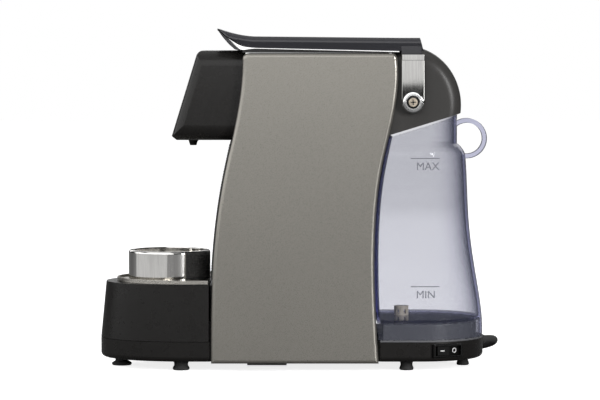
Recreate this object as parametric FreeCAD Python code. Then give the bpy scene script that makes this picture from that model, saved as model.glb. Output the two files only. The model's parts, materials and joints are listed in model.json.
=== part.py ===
import FreeCAD, Part
import math
import os

V = FreeCAD.Vector
X = V(1, 0, 0)
Y = V(0, 1, 0)
Z = V(0, 0, 1)

# Pod coffee machine. Millimetres, +Z up, the floor at z = 0, the brewing front towards -X,
# the switch side towards -Y. The origin is under the middle of the machine.

# ---------------------------------------------------------------- driving dimensions
BODY_WIDTH = 130.0          # across the two side panels
BODY_TOP = 290.4            # top edge of the side panels above the floor
FOOT_HEIGHT = 8.8           # underside of the base pan above the floor
PAN_RIM = 27.0              # rim of the base pan above the floor
TRAY_TOP = 79.3             # rim of the drip tray above the floor
TRAY_REACH = 104.0          # drip tray, from the foot of the body to its front
TANK_REACH = 98.0           # base pan, from the foot of the body to its rear end
HEAD_REACH = 64.0           # head, from the body to its lower front edge
SPOUT_REACH = 43.0          # from the body's front, under the head, to the spout
CUP_ROOM = 97.0             # from the cup ring to the spout
CUP_RING_R = 38.0
CUP_RING_TOP = 108.0
LEVER_TOP = BODY_TOP + 14.1  # flat top of the lever above the floor
LEVER_TIP_TOP = BODY_TOP + 22.6
POD_GAP = 27.9              # how far the carriage draws back to let a pod drop
POD_R = 19.0                # pod cup, inside radius of the cage
TANK_SLOPE_DEG = 17.0       # slope that the tank slides out on

# walls and clearances
WALL = 2.5                  # moulded walls
SHEET = 1.2                 # side panel sheet
PANEL_DEPTH = 8.0           # how far the panel's rolled edge reaches inwards
TANK_WALL = 2.8
GAP = 0.4                   # between pieces of different moving bodies
SEAT = 0.2                  # between pieces that sit in each other
RUN = 0.06                  # radial, a shaft in its bush
SCREW_R = 1.5
SCREW_HEAD_R = 3.1

HALF = BODY_WIDTH / 2
CORE_HALF = HALF - PANEL_DEPTH - 0.5      # housing between the two panels
BASE_HALF = HALF - 3.0                    # tray, pan and tank
FOOT_FRONT_X = -75.0                      # body's front edge at its foot
FOOT_REAR_X = 78.0

# body's front and rear edge, seen from the side: (x, share of the panel's height)
PANEL_FOOT = 7.5
FRONT_EDGE = [
    (-75.0, 0.0), (-74.5, 0.2), (-71.0, 0.41), (-62.5, 0.61), (-52.5, 0.775), (-47.0, 0.9), (-46.0, 1.0),
]
REAR_EDGE = [(78.0, 0.0), (74.6, 0.21), (74.6, 0.43), (80.5, 0.63), (90.0, 0.78), (95.3, 0.91), (94.0, 1.0)]
TRIM_PROUD = 1.3            # ribbed trim, in front of the panels' front edges
RIB_PITCH = 2.4
RIB_PROUD = 0.5

# lever, sector gear and rack
PIVOT_X = 109.0
PIVOT_Z = BODY_TOP - 44.4
AXLE_R = 4.0
MODULE = 2.0
GEAR_TEETH = 20
PITCH_R = MODULE * GEAR_TEETH / 2
TOOTH_THICK = 2.7           # at the pitch line, thinned for backlash
PRESSURE = math.radians(20)
GEAR_Y = 37.5               # middle of each sector gear
GEAR_WIDTH = 6.0
ARM_WIDTH = 21.0
ARM_INNER_Y = HALF - 6.6
ARM_OUTER_Y = HALF - 1.1

# brewing group, on its own axis
BREW_Z = BODY_TOP - 38.4
BREW_FRONT_X = FRONT_EDGE[-1][0] + 6.0
CAGE_DEPTH = 27.0
CAGE_WALL = 3.0
CHASSIS_Y = 46.0
CHASSIS_REAR_X = 66.0
TAB_END = CORE_HALF - WALL

# rear dome and tank
DOME_X = 103.5
DOME_Z = BODY_TOP - 47.4
DOME_A = 50.0
DOME_B = 54.0
DOME_HALF = HALF - PANEL_DEPTH - 0.4
DOME_ROUND = 13.0
DOME_EDGE_X = 90.0          # lowest front point of the dome's slanted edge
DOME_EDGE_Z = BODY_TOP - 73.9
TANK_SHOULDER = BODY_TOP - 93.4
TANK_FLOOR = 44.0
PLINTH_TOP = 42.5
REAR_CENTRE_X = FOOT_REAR_X + TANK_REACH - 58.0   # where the rear end starts to round in plan
FRONT_CENTRE_X = -101.0
PORT_X = 100.6
HANDLE_R = 18.6
HANDLE_X = FOOT_REAR_X + TANK_REACH - 15.0
HANDLE_Z = BODY_TOP - 78.9

# pump, heater and water path
PUMP_X = 41.0
PUMP_Y = 27.0
PUMP_BASE = 60.0
HEATER_X = 38.0
HEATER_Y = -26.0
METER_X = 26.0

# rocker switch
SWITCH_ANGLE = 66.6         # around the rear end of the base pan
SWITCH_Z = 19.0
ROCKER_TILT = 7.0

# mains cord
CORD_R = 3.5
CORD_POINTS = [
    (179.0, 49.3, 19.5), (189.3, 64.0, 18.9), (193.6, 83.5, 15.0), (189.0, 106.5, 9.0), (170.0, 125.5, 3.8),
    (141.0, 131.0, 3.7), (111.0, 120.0, 3.7), (84.0, 92.0, 3.7), (60.0, 84.0, 3.7),
]
COIL_CENTRE = (38.0, 122.0)
COIL_MEAN_R = 38.5

# ---------------------------------------------------------------- placing, worked out from the above
FRONT_A = TRAY_REACH + FRONT_CENTRE_X - FOOT_FRONT_X
REAR_A = FOOT_REAR_X + TANK_REACH - REAR_CENTRE_X + 0.4
PLINTH_FRONT_X = FOOT_REAR_X + 4.5
PORT_TUBE_Z = 34.0
DECK_Z = BODY_TOP - 4.6
DECK_THICK = 3.0
CARRIAGE_X = BREW_FRONT_X + 2.6 + 1.3 + 0.6
SLOT_X0 = CARRIAGE_X - 0.6
SLOT_X1 = SLOT_X0 + POD_GAP - 0.5
SLOT_HALF = POD_R + 2.0
WING_X = CARRIAGE_X + CAGE_DEPTH + CAGE_WALL
RACK_Z = PIVOT_Z + PITCH_R
RACK_TOP = RACK_Z + 7.0
RACK_END_X = PIVOT_X + 3.5
DUCT_Z = BREW_Z - 17.0
HEAD_TOP = BODY_TOP + 2.6
HEAD_LOW = CUP_RING_TOP + CUP_ROOM + 6.0
HEAD_HALF = CORE_HALF - 0.5
HEAD_ROUND = 14.0
HEAD_NOSE = 7.0
HEAD_TOP_X = -87.0
HEAD_LOW_X = -47.0 - HEAD_REACH
SPOUT_X = -50.0 - SPOUT_REACH
SPOUT_Z = CUP_RING_TOP + CUP_ROOM
FACE_TILT = math.degrees(math.atan2(HEAD_TOP_X - HEAD_LOW_X, HEAD_TOP - HEAD_LOW - 4.0))
FACE_MID = V((HEAD_TOP_X + HEAD_LOW_X) / 2, 0, (HEAD_TOP + HEAD_LOW + 4.0) / 2)
FACE_HALF = 38.0
FACE_LOW = -29.0
FACE_HIGH = 28.0
BUTTON_R = 7.5
BUTTON_Y = 13.0
BUTTON_UP = 12.0
LEVER_TIP_X = -69.0
LEVER_REAR_X = PIVOT_X + ARM_WIDTH / 2 - 1.0
LEVER_HALF = ARM_OUTER_Y
RAIL_Z = BODY_TOP + 0.8
TRAY_REAR_X = FOOT_FRONT_X - 2.2
BIN_REAR_X = -7.0
BIN_TOP = 78.0
DRAWER_REAR_HALF = CORE_HALF - WALL - 4.0
GRID_A = 63.0
CUP_X = TRAY_REAR_X - CUP_RING_R
CUP_GRID_Z = CUP_RING_TOP - 8.0
HEATER_LOW = 134.0
HEATER_TOP = BREW_Z - 46.0
BASE_SCREWS = [(x, side * (CORE_HALF - WALL - 4.8)) for x in (8.0, 62.0) for side in (-1, 1)]
PANEL_SCREWS = [(-56.0, 60.0), (58.0, 60.0), (-34.0, 246.0), (78.0, 246.0)]
BEZEL_W = 30.0
BEZEL_H = 12.0
ROCKER_L = 25.0
ROCKER_H = 8.0
SWITCH_HALF = ROCKER_L / 2 + GAP + 1.1
SWITCH_DEEP = ROCKER_H / 2 + GAP + 0.6
RELIEF_R = 6.2
RELIEF_LONG = 20.0
RELIEF_TURN = math.radians(55)
RELIEF_DIR = V(math.cos(RELIEF_TURN), math.sin(RELIEF_TURN), 0)
RELIEF_ROOT = V(CORD_POINTS[0][0], CORD_POINTS[0][1], CORD_POINTS[0][2]) - RELIEF_DIR * RELIEF_LONG

os.makedirs("parts", exist_ok=True)


# ---------------------------------------------------------------- helpers
def box(x0, x1, y0, y1, z0, z1):
    return Part.makeBox(x1 - x0, y1 - y0, z1 - z0, V(x0, y0, z0))


def centred(x0, x1, half_y, half_z):
    """A box about the X axis."""
    return box(x0, x1, -half_y, half_y, -half_z, half_z)


def rod(r, start, axis, length):
    """A cylinder from start along axis."""
    return Part.makeCylinder(r, length, V(*start), axis)


def tube(r_out, r_in, start, axis, length):
    return rod(r_out, start, axis, length).cut(rod(r_in, start, axis, length))


def both_sides(shape):
    """The shape and its mirror image across the middle plane, as separate solids."""
    return Part.makeCompound([shape, shape.mirror(V(0, 0, 0), Y)])


def join(first, *others):
    return first.fuse(list(others)).removeSplitter()


def slab(edges, y0, y1):
    """A closed outline of edges in the XZ plane, carried from y0 to y1."""
    face = Part.Face(Part.Wire(Part.__sortEdges__(edges)))
    face.translate(V(0, y0, 0))
    return face.extrude(V(0, y1 - y0, 0))


def profile(points, y0, y1):
    """A polygon of (x, z) points, carried from y0 to y1."""
    ring = [V(x, 0, z) for x, z in points]
    wire = Part.makePolygon(ring + ring[:1])
    face = Part.Face(wire)
    face.translate(V(0, y0, 0))
    return face.extrude(V(0, y1 - y0, 0))


def rounded(shape, radius, wanted):
    """The shape with the edges that wanted picks filleted."""
    edges = [e for e in shape.Edges if wanted(e)]
    return shape.makeFillet(radius, edges) if edges else shape


def edge_curve(points, shift=0.0):
    """The body's S-shaped edge as a smooth curve, moved by shift along X."""
    height = BODY_TOP - PANEL_FOOT
    curve = Part.BSplineCurve()
    curve.interpolate([V(x + shift, 0, PANEL_FOOT + share * height) for x, share in points])
    return curve


FRONT_CURVE = edge_curve(FRONT_EDGE)
REAR_CURVE = edge_curve(REAR_EDGE)


def curve_x(curve, z):
    """X of an edge curve at height z, found by halving."""
    low, high = curve.FirstParameter, curve.LastParameter
    for _ in range(40):
        middle = (low + high) / 2
        if curve.value(middle).z < z:
            low = middle
        else:
            high = middle
    return curve.value(low).x


def front_x(z):
    return curve_x(FRONT_CURVE, z)


def rear_x(z):
    return curve_x(REAR_CURVE, z)


def body_slab(front_shift, rear_shift, z0, z1, y0, y1):
    """The body's side outline, its edges moved along X, from z0 to z1 and y0 to y1."""
    front = edge_curve(FRONT_EDGE, front_shift)
    rear = edge_curve(REAR_EDGE, rear_shift)
    bottom = Part.LineSegment(front.StartPoint, rear.StartPoint)
    top = Part.LineSegment(front.EndPoint, rear.EndPoint)
    whole = slab([front.toShape(), rear.toShape(), bottom.toShape(), top.toShape()], y0, y1)
    return whole.common(box(-400, 400, y0, y1, z0, z1))


def d_wire(x_flat, x_centre, a, b, z):
    """Plan outline: straight sides from x_flat to x_centre, then half an ellipse of semi-axes a, b."""
    sign = 1.0 if x_centre > x_flat else -1.0
    centre = V(x_centre, 0, z)
    tip = V(x_centre + sign * a, 0, z)
    near, far = V(x_centre, -b, z), V(x_centre, b, z)
    major, minor = (tip, far) if a >= b else (far, tip)
    ellipse = Part.Ellipse(major, minor, centre)
    u_near, u_tip, u_far = (ellipse.parameter(p) for p in (near, tip, far))
    halves = []
    for u0, u1 in ((u_near, u_tip), (u_tip, u_far)):
        step = (u1 - u0 + math.pi) % (2 * math.pi) - math.pi
        start, end = (u0, u0 + step) if step > 0 else (u0 + step, u0)
        halves.append(Part.ArcOfEllipse(ellipse, start, end).toShape())
    near_side = Part.LineSegment(V(x_flat, -b, z), near).toShape()
    far_side = Part.LineSegment(far, V(x_flat, b, z)).toShape()
    flat = Part.LineSegment(V(x_flat, b, z), V(x_flat, -b, z)).toShape()
    return Part.Wire(Part.__sortEdges__([near_side, *halves, far_side, flat]))


def d_prism(x_flat, x_centre, a, b, z0, z1):
    return Part.Face(d_wire(x_flat, x_centre, a, b, z0)).extrude(V(0, 0, z1 - z0))


def drawn_in(end, inset):
    """The sizes (x_flat, x_centre, a, b) of a rounded end, every wall moved inwards by inset."""
    x_flat, x_centre, a, b = end
    sign = 1.0 if x_centre > x_flat else -1.0
    return x_flat + sign * inset, x_centre, a - inset, b - inset


def half_space_below(x0, z0, slope_deg, size=400.0):
    """A big block under the slanted plane through (x0, z0)."""
    block = box(-size, size, -size, size, -size, 0)
    block.rotate(V(0, 0, 0), Y, -slope_deg)
    block.translate(V(x0, 0, z0))
    return block


def pipe(points, radius, bend, bore=0.0):
    """A round pipe along straight runs joined by arcs of one bend radius."""
    route = bent_route([V(*p) for p in points], lambda a, b, turn: bend)
    section = Part.Wire(Part.makeCircle(radius, route[0].Vertexes[0].Point, V(*points[1]) - V(*points[0])))
    body = Part.Wire(route).makePipeShell([section], True, True)
    if not bore:
        return body
    hole = Part.Wire(Part.makeCircle(bore, route[0].Vertexes[0].Point, V(*points[1]) - V(*points[0])))
    return body.cut(Part.Wire(route).makePipeShell([hole], True, True))


def bent_route(points, radius_of):
    """Edges along points: straight runs, and at each inner point an arc tangent to both runs."""
    edges = []
    start = points[0]
    for before, corner, after in zip(points, points[1:], points[2:]):
        back, on = before - corner, after - corner
        run_in, run_out = back.Length, on.Length
        back.normalize()
        on.normalize()
        turn = math.pi - back.getAngle(on)
        radius = radius_of(run_in, run_out, turn)
        leg = radius * math.tan(turn / 2)
        middle = back + on
        middle.normalize()
        deep = corner + middle * (radius / math.cos(turn / 2) - radius)
        entry, leave = corner + back * leg, corner + on * leg
        edges.append(Part.LineSegment(start, entry).toShape())
        edges.append(Part.Arc(entry, deep, leave).toShape())
        start = leave
    edges.append(Part.LineSegment(start, points[-1]).toShape())
    return edges


def coil_spring(x, y, z0, z1, radius, wire, turns):
    """A round-wire spring standing on z0, with its ends inside z0 and z1."""
    height = z1 - z0 - 2 * wire
    helix = Part.makeHelix(height / turns, height, radius)
    helix.translate(V(x, y, z0 + wire))
    section = Part.Wire(Part.makeCircle(wire / 2, V(x + radius, y, z0 + wire), Y))
    return Part.Wire(helix).makePipeShell([section], True, True)


def cross_cut(centre, axis, size, depth):
    """A cross-head recess, sunk depth deep from centre along axis."""
    arm = box(-size, size, -0.45, 0.45, 0, depth)
    cross = arm.fuse(box(-0.45, 0.45, -size, size, 0, depth))
    cross.Placement = FreeCAD.Placement(V(*centre), FreeCAD.Rotation(Z, axis))
    return cross


def screw(start, axis, head_r, head_h, shank_r, shank_h):
    """A cross-head screw whose head's outer face is at start, pointing along axis."""
    head = rod(head_r, start, axis, head_h)
    top = V(*start) + axis * head_h
    shank = rod(shank_r, (top.x, top.y, top.z), axis, shank_h)
    return join(head, shank).cut(cross_cut(start, axis, head_r * 0.62, head_h * 0.7))


def on_face(shape):
    """Moves a shape from the front panel's own frame, +X into the head, onto the head's face."""
    shape.rotate(V(0, 0, 0), Y, FACE_TILT)
    shape.translate(FACE_MID)
    return shape


def switch_frame(shape):
    """Moves a shape from the switch's own frame, +X outwards, onto the rounded rear of the pan."""
    turn = math.radians(-SWITCH_ANGLE)
    point = V(REAR_CENTRE_X + REAR_A * math.cos(turn), BASE_HALF * math.sin(turn), SWITCH_Z)
    outward = math.degrees(math.atan2(math.sin(turn) / BASE_HALF, math.cos(turn) / REAR_A))
    shape.rotate(V(0, 0, 0), Z, outward)
    shape.translate(point)
    return shape


# ---------------------------------------------------------------- base
def base_pan():
    floor = FOOT_HEIGHT
    front_end = (FOOT_FRONT_X - 1.5, FRONT_CENTRE_X, FRONT_A, BASE_HALF)
    rear_end = (FOOT_REAR_X + 1.5, REAR_CENTRE_X, REAR_A, BASE_HALF)
    front = d_prism(*front_end, floor, PAN_RIM)
    rear = d_prism(*rear_end, floor, PAN_RIM)
    low_curve = lambda e: e.BoundBox.ZMax < floor + 0.01 and e.BoundBox.XLength > 1
    front = rounded(front, 4.5, low_curve)
    rear = rounded(rear, 4.5, low_curve)
    middle = box(FOOT_FRONT_X - 1.5, FOOT_REAR_X + 1.5, -CORE_HALF, CORE_HALF, floor, PAN_RIM)
    inside = join(
        d_prism(*drawn_in(front_end, WALL), floor + WALL, 60),
        d_prism(*drawn_in(rear_end, WALL), floor + WALL, 60),
        box(FOOT_FRONT_X - 12, FOOT_REAR_X + 12, WALL - CORE_HALF, CORE_HALF - WALL, floor + WALL, 60),
    )
    pan = join(front, rear, middle).cut(inside)
    pad = switch_frame(box(-6.5, -0.5, -17.5, 17.5, -7.6, 7.6))
    pad = pad.common(join(rear, middle)).common(box(-400, 400, -400, 400, floor + 1, PAN_RIM))
    pan = join(pan, pad)
    pan = pan.cut(switch_frame(centred(-2.2, 9, BEZEL_W / 2 + SEAT, BEZEL_H / 2 + SEAT)))
    pan = pan.cut(switch_frame(centred(-12, 9, SWITCH_HALF + SEAT, SWITCH_DEEP + SEAT)))
    pan = pan.cut(rod(RELIEF_R + SEAT, tuple(RELIEF_ROOT - RELIEF_DIR * 9), RELIEF_DIR, 20))
    for x, y in BASE_SCREWS:
        pan = pan.cut(rod(SCREW_R + 0.3, (x, y, floor - 1), Z, 8))
        pan = pan.cut(rod(SCREW_HEAD_R + 0.3, (x, y, floor - 1), Z, 2.3))
    return pan


def front_deck():
    """Plate that closes the front of the pan, and that the drawer slides on."""
    top = PAN_RIM - 0.2
    inset = WALL + SEAT
    plate = join(
        d_prism(FOOT_FRONT_X - 2 - WALL, FRONT_CENTRE_X, FRONT_A - inset, BASE_HALF - inset, top - 2, top),
        box(FOOT_FRONT_X - 6, 0, SEAT + WALL - CORE_HALF, CORE_HALF - WALL - SEAT, top - 2, top),
    )
    posts = [
        rod(4, (x, y, FOOT_HEIGHT + WALL), Z, top - FOOT_HEIGHT - WALL - 1)
        for x in (-150, -110, -60, -12)
        for y in (-30, 30)
    ]
    return join(plate, *posts)


def foot(r_low, r_neck, r_top):
    """A turned rubber foot: a flared pad on the floor, a neck, and a flange under the pan."""
    outline = [
        (0, 0), (r_low - 0.8, 0), (r_low, 0.8), (r_low, 2.2), (r_neck, 4.4), (r_neck, 6.2),
        (r_top, FOOT_HEIGHT - 1), (r_top, FOOT_HEIGHT), (0, FOOT_HEIGHT),
    ]
    ring = [V(x, 0, z) for x, z in outline]
    return Part.Face(Part.makePolygon(ring + ring[:1])).revolve(V(0, 0, 0), Z, 360)


def placed(shape, x, y, z=0.0):
    copy = shape.copy()
    copy.translate(V(x, y, z))
    return copy


def rubber_feet():
    """Six turned feet under the pan, and a thin strip under the bottom edge of each side panel."""
    feet = [placed(foot(9.2, 6.0, 7.5), -160, 0), placed(foot(5.8, 5.0, 5.6), 158, 0)]
    for y in (-44, 44):
        feet.append(placed(foot(7.7, 6.4, 7.2), -103, y))
        feet.append(placed(foot(6.5, 5.6, 6.2), 104, y))
    for side in (-1, 1):
        strip = box(-42, -6, HALF - 6.4, HALF - 2.2, PANEL_FOOT - 1.5, PANEL_FOOT)
        feet.append(strip if side > 0 else strip.mirror(V(0, 0, 0), Y))
    return Part.makeCompound(feet)


def water_port():
    """Stub that the tank stands on, with the pin that lifts the tank's valve and a spigot for the hose."""
    stem = rod(4.8, (PORT_X, 0, PORT_TUBE_Z - 5), Z, PLINTH_TOP + 0.6 - PORT_TUBE_Z + 5)
    bore = rod(3.0, (PORT_X, 0, PORT_TUBE_Z - 2.5), Z, 20)
    spigot = rod(3.2, (PORT_X - 12, 0, PORT_TUBE_Z), X, 10)
    spigot_bore = rod(1.8, (PORT_X - 13, 0, PORT_TUBE_Z), X, 12)
    pin = rod(1.0, (PORT_X, 0, PORT_TUBE_Z - 3), Z, TANK_FLOOR - 0.1 - PORT_TUBE_Z + 3)
    web = box(PORT_X - 3.4, PORT_X + 3.4, -0.6, 0.6, PORT_TUBE_Z + 2, PLINTH_TOP - 1)
    return join(join(stem, spigot).cut(bore).cut(spigot_bore), pin, web)


def plinth():
    """Cover of the pan's rear half, with the raised block and the water port that the tank stands over."""
    skin = d_prism(FOOT_REAR_X + 1.5, REAR_CENTRE_X, REAR_A, BASE_HALF, PAN_RIM, PAN_RIM + 1.6)
    block_end = (PLINTH_FRONT_X, REAR_CENTRE_X, REAR_A - 6.2, BASE_HALF - 6)
    block = d_prism(*block_end, PAN_RIM, PLINTH_TOP)
    block = rounded(block, 1.5, lambda e: e.BoundBox.ZMin > PLINTH_TOP - 0.01)
    hollow = d_prism(*drawn_in(block_end, WALL), PAN_RIM - 1, PLINTH_TOP - WALL)
    cover = join(skin, block).cut(hollow)
    cover = cover.cut(rod(4.0, (PORT_X, 0, PAN_RIM), Z, 30))
    cover = cover.cut(box(PLINTH_FRONT_X - 8, PLINTH_FRONT_X + 8, -5.2, 5.2, PAN_RIM - 1, PORT_TUBE_Z + 5.2))
    return join(cover, water_port())


def port_seal():
    return tube(8.0, 4.8 + SEAT, (PORT_X, 0, PLINTH_TOP), Z, TANK_FLOOR - 0.15 - PLINTH_TOP)


# ---------------------------------------------------------------- body
def core_shell():
    """Central housing between the panels: front, rear and side walls, screw posts, windows."""
    outer = body_slab(0.9, -1.0, PAN_RIM, DECK_Z, -CORE_HALF, CORE_HALF)
    inner = body_slab(0.9 + WALL, -1.0 - WALL, PAN_RIM - 1, DECK_Z + 1, WALL - CORE_HALF, CORE_HALF - WALL)
    shell = outer.cut(inner)
    posts = [rod(4.5, (x, y, FOOT_HEIGHT + WALL), Z, 42) for x, y in BASE_SCREWS]
    webs = [
        box(x - 1.5, x + 1.5, min(y, y * 1.12), max(y, y * 1.12), PAN_RIM + 1, 50)
        for x, y in BASE_SCREWS
    ]
    shell = join(shell, *posts, *webs)
    for x, y in BASE_SCREWS:
        shell = shell.cut(rod(SCREW_R + 0.02, (x, y, FOOT_HEIGHT), Z, 18))
    bay_half = DRAWER_REAR_HALF + 0.6
    shell = shell.cut(box(FOOT_FRONT_X - 5, FOOT_FRONT_X + 14, -bay_half, bay_half, 0, BIN_TOP + 3))
    shell = shell.cut(rod(6.5, (-70, 0, DUCT_Z), X, 40))
    for y in (-GEAR_Y, GEAR_Y):
        slot_half = GEAR_WIDTH / 2 + 1.2
        shell = shell.cut(box(70, 110, y - slot_half, y + slot_half, PIVOT_Z - PITCH_R - 4, RACK_TOP + 2))
    shell = shell.cut(box(60, 90, -5.2, 5.2, PAN_RIM - 1, PORT_TUBE_Z + 5.2))
    for x, z in PANEL_SCREWS:
        shell = shell.cut(rod(SCREW_R + 0.3, (x, -80, z), Y, 160))
    return shell


def ribbed_front():
    """Trim on the body's front, with a fine horizontal rib every RIB_PITCH."""
    low, high = TRAY_TOP + 4.2, HEAD_LOW - 0.4
    face, back = edge_curve(FRONT_EDGE, -TRIM_PROUD), edge_curve(FRONT_EDGE, 0.9)
    foot_line = Part.LineSegment(face.StartPoint, back.StartPoint)
    top_line = Part.LineSegment(face.EndPoint, back.EndPoint)
    sides = [line.toShape() for line in (face, back, foot_line, top_line)]
    strip = slab(sides, -CORE_HALF, CORE_HALF).common(box(-200, 100, -80, 80, low, high))
    count = int((high - low - 3) / RIB_PITCH)
    ribs = []
    for i in range(count):
        z = low + 3 + i * RIB_PITCH
        root = front_x(z) - TRIM_PROUD + 0.6
        tip = front_x(z) - TRIM_PROUD - RIB_PROUD
        rib = [(root, z - 0.8), (tip, z - 0.3), (tip, z + 0.3), (root, z + 0.8)]
        ribs.append(profile(rib, 2 - CORE_HALF, CORE_HALF - 2))
    return join(strip, *ribs)


def side_panel():
    """One side panel: a flat sheet with its whole edge rolled inwards, on the -Y side."""
    outer = body_slab(0, 0, PANEL_FOOT, BODY_TOP, -HALF, PANEL_DEPTH - HALF)
    upright = lambda e: e.BoundBox.YLength > 1 and e.BoundBox.XLength < 0.1 and e.BoundBox.ZMin > 100
    outer = rounded(outer, 5.0, upright)
    outer = rounded(outer, 3.4, lambda e: e.BoundBox.YMax < 0.01 - HALF)
    low, high = PANEL_FOOT + SHEET, BODY_TOP - SHEET
    inner = body_slab(SHEET, -SHEET, low, high, SHEET - HALF, PANEL_DEPTH - HALF + 1)
    inner = rounded(inner, 5.0 - SHEET, upright)
    inner = rounded(inner, 3.4 - SHEET, lambda e: e.BoundBox.YMax < SHEET + 0.01 - HALF)
    panel = outer.cut(inner)
    posts = []
    for x, z in PANEL_SCREWS:
        posts.append(rod(4, (x, SHEET / 2 - HALF, z), Y, PANEL_DEPTH + 0.5 - SHEET / 2))
    panel = join(panel, *posts)
    for x, z in PANEL_SCREWS:
        panel = panel.cut(rod(SCREW_R + 0.02, (x, SHEET + 1 - HALF, z), Y, 20))
    return panel


def case_screws():
    """Twelve equal screws: from inside the housing into the panels' posts, and from below into its own."""
    side = [
        screw((x, WALL + 1.2 - CORE_HALF, z), -Y, SCREW_HEAD_R, 1.2, SCREW_R, WALL + 6.0)
        for x, z in PANEL_SCREWS
    ]
    far = [one.mirror(V(0, 0, 0), Y) for one in side]
    low = [
        screw((x, y, FOOT_HEIGHT), Z, SCREW_HEAD_R, 1.2, SCREW_R, WALL + 6.0)
        for x, y in BASE_SCREWS
    ]
    return Part.makeCompound(side + far + low)


def top_deck():
    """Flat top of the housing under the lever, with the pod slot and its collar."""
    plate = body_slab(0.9, -1.0, DECK_Z, DECK_Z + DECK_THICK, -CORE_HALF, CORE_HALF)
    collar = box(SLOT_X0 - 2, SLOT_X1 + 2, -SLOT_HALF - 2, SLOT_HALF + 2, DECK_Z - 6, DECK_Z + 1)
    deck = join(plate, collar)
    deck = deck.cut(box(SLOT_X0, SLOT_X1, -SLOT_HALF, SLOT_HALF, DECK_Z - 10, DECK_Z + 10))
    return deck


def head_outline(grow):
    """The head's side outline, drawn in by -grow all round."""
    return [
        (-30.0, HEAD_TOP + grow), (HEAD_TOP_X - 0.9 * grow, HEAD_TOP + grow),
        (HEAD_LOW_X - 1.1 * grow, HEAD_LOW + 4.0), (HEAD_LOW_X + 4.5 - grow * 0.6, HEAD_LOW - grow),
        (-30.0, HEAD_LOW - grow),
    ]


def head_solid(shrink):
    """Solid head: the side outline with rounded front edges, inside a rounded section."""
    half = HEAD_HALF - shrink
    body = profile(head_outline(-shrink), -half, half)
    nose_edge = lambda e: e.BoundBox.YLength > 50 and e.BoundBox.XMax < HEAD_TOP_X + 5
    body = rounded(body, HEAD_NOSE - shrink, lambda e: nose_edge(e) and e.BoundBox.ZMin > HEAD_LOW + 10)
    front_corner = lambda e: e.BoundBox.YLength < 0.01 and e.BoundBox.ZLength > 40 and e.BoundBox.XMax < -35
    body = rounded(body, 8.0 - shrink, front_corner)
    section = box(-200, 0, -half, half, HEAD_LOW + shrink, HEAD_TOP - shrink)
    return body.common(rounded(section, HEAD_ROUND - shrink, lambda e: e.BoundBox.XLength > 100))


def head_housing():
    """Hollow head in front of the body, open where it meets the body and behind its front panel."""
    body_zone = body_slab(0.9, 0, HEAD_LOW - 20, BODY_TOP, -80, 80)
    body_zone = join(body_zone, box(-45.2, 0, -80, 80, BODY_TOP - 5, BODY_TOP + 40))
    shell = head_solid(0).cut(head_solid(WALL)).cut(body_zone)
    opening_half = FACE_HALF + SEAT
    shell = shell.cut(on_face(box(-9, 9, -opening_half, opening_half, FACE_LOW - SEAT, FACE_HIGH + SEAT)))
    return shell.cut(rod(5.0 + SEAT, (SPOUT_X, 0, HEAD_LOW - 10), Z, 20))


def head_front():
    """Inset front panel of the head, with the two button holes."""
    corner = lambda e: e.BoundBox.XLength > 1 and e.BoundBox.YLength < 0.1 and e.BoundBox.ZLength < 0.1
    plate = on_face(rounded(box(0.3, 2.6, -FACE_HALF, FACE_HALF, FACE_LOW, FACE_HIGH), 6.0, corner))
    for y in (-BUTTON_Y, BUTTON_Y):
        plate = plate.cut(on_face(rod(BUTTON_R + GAP, (-5, y, BUTTON_UP), X, 20)))
    return plate


def brew_button(y):
    """Round push button: a dished cap, a flange behind the panel and a stem to its switch."""
    cap = rod(BUTTON_R, (-0.9, y, BUTTON_UP), X, 4.2)
    cap = rounded(cap, 0.8, lambda e: e.BoundBox.XMax < -0.89)
    cap = cap.cut(Part.makeSphere(30, V(-30.2, y, BUTTON_UP)))
    flange = rod(BUTTON_R + 1.6, (3.0, y, BUTTON_UP), X, 1.4)
    stem = rod(2.0, (4.0, y, BUTTON_UP), X, 3.0)
    return on_face(join(cap, flange, stem))


def button_board():
    """Small circuit board behind the buttons, with a key switch under each stem."""
    board = box(11.0, 12.6, -27, 27, BUTTON_UP - 10, BUTTON_UP + 10)
    keys = [box(8.6, 11.2, y - 3, y + 3, BUTTON_UP - 3, BUTTON_UP + 3) for y in (-BUTTON_Y, BUTTON_Y)]
    posts = [rod(2.0, (2.6, y, BUTTON_UP + s * 7.5), X, 8.5) for y in (-24.5, 24.5) for s in (-1, 1)]
    return on_face(join(board, *keys, *posts))


def spout():
    """Coffee outlet under the head: a flange inside, a neck and a tapered nozzle."""
    flange = rod(7.0, (SPOUT_X, 0, HEAD_LOW + WALL), Z, 1.6)
    neck = rod(5.0, (SPOUT_X, 0, HEAD_LOW - 0.5), Z, WALL + 1.0)
    nozzle = Part.makeCone(3.0, 4.6, 5.5, V(SPOUT_X, 0, SPOUT_Z), Z)
    drip_lug = rod(1.4, (SPOUT_X + 3.4, 0, HEAD_LOW - 2), Z, 3)
    body = join(flange, neck, nozzle, drip_lug)
    return body.cut(rod(2.0, (SPOUT_X, 0, SPOUT_Z - 1), Z, 30))


def coffee_duct():
    """Pipe from the brewing plate forward to the spout."""
    points = [(BREW_FRONT_X - 2.0, 0, DUCT_Z), (SPOUT_X, 0, DUCT_Z), (SPOUT_X, 0, HEAD_LOW + WALL + 1.6)]
    return pipe(points, 4.5, 9.0, 2.6)


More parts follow.
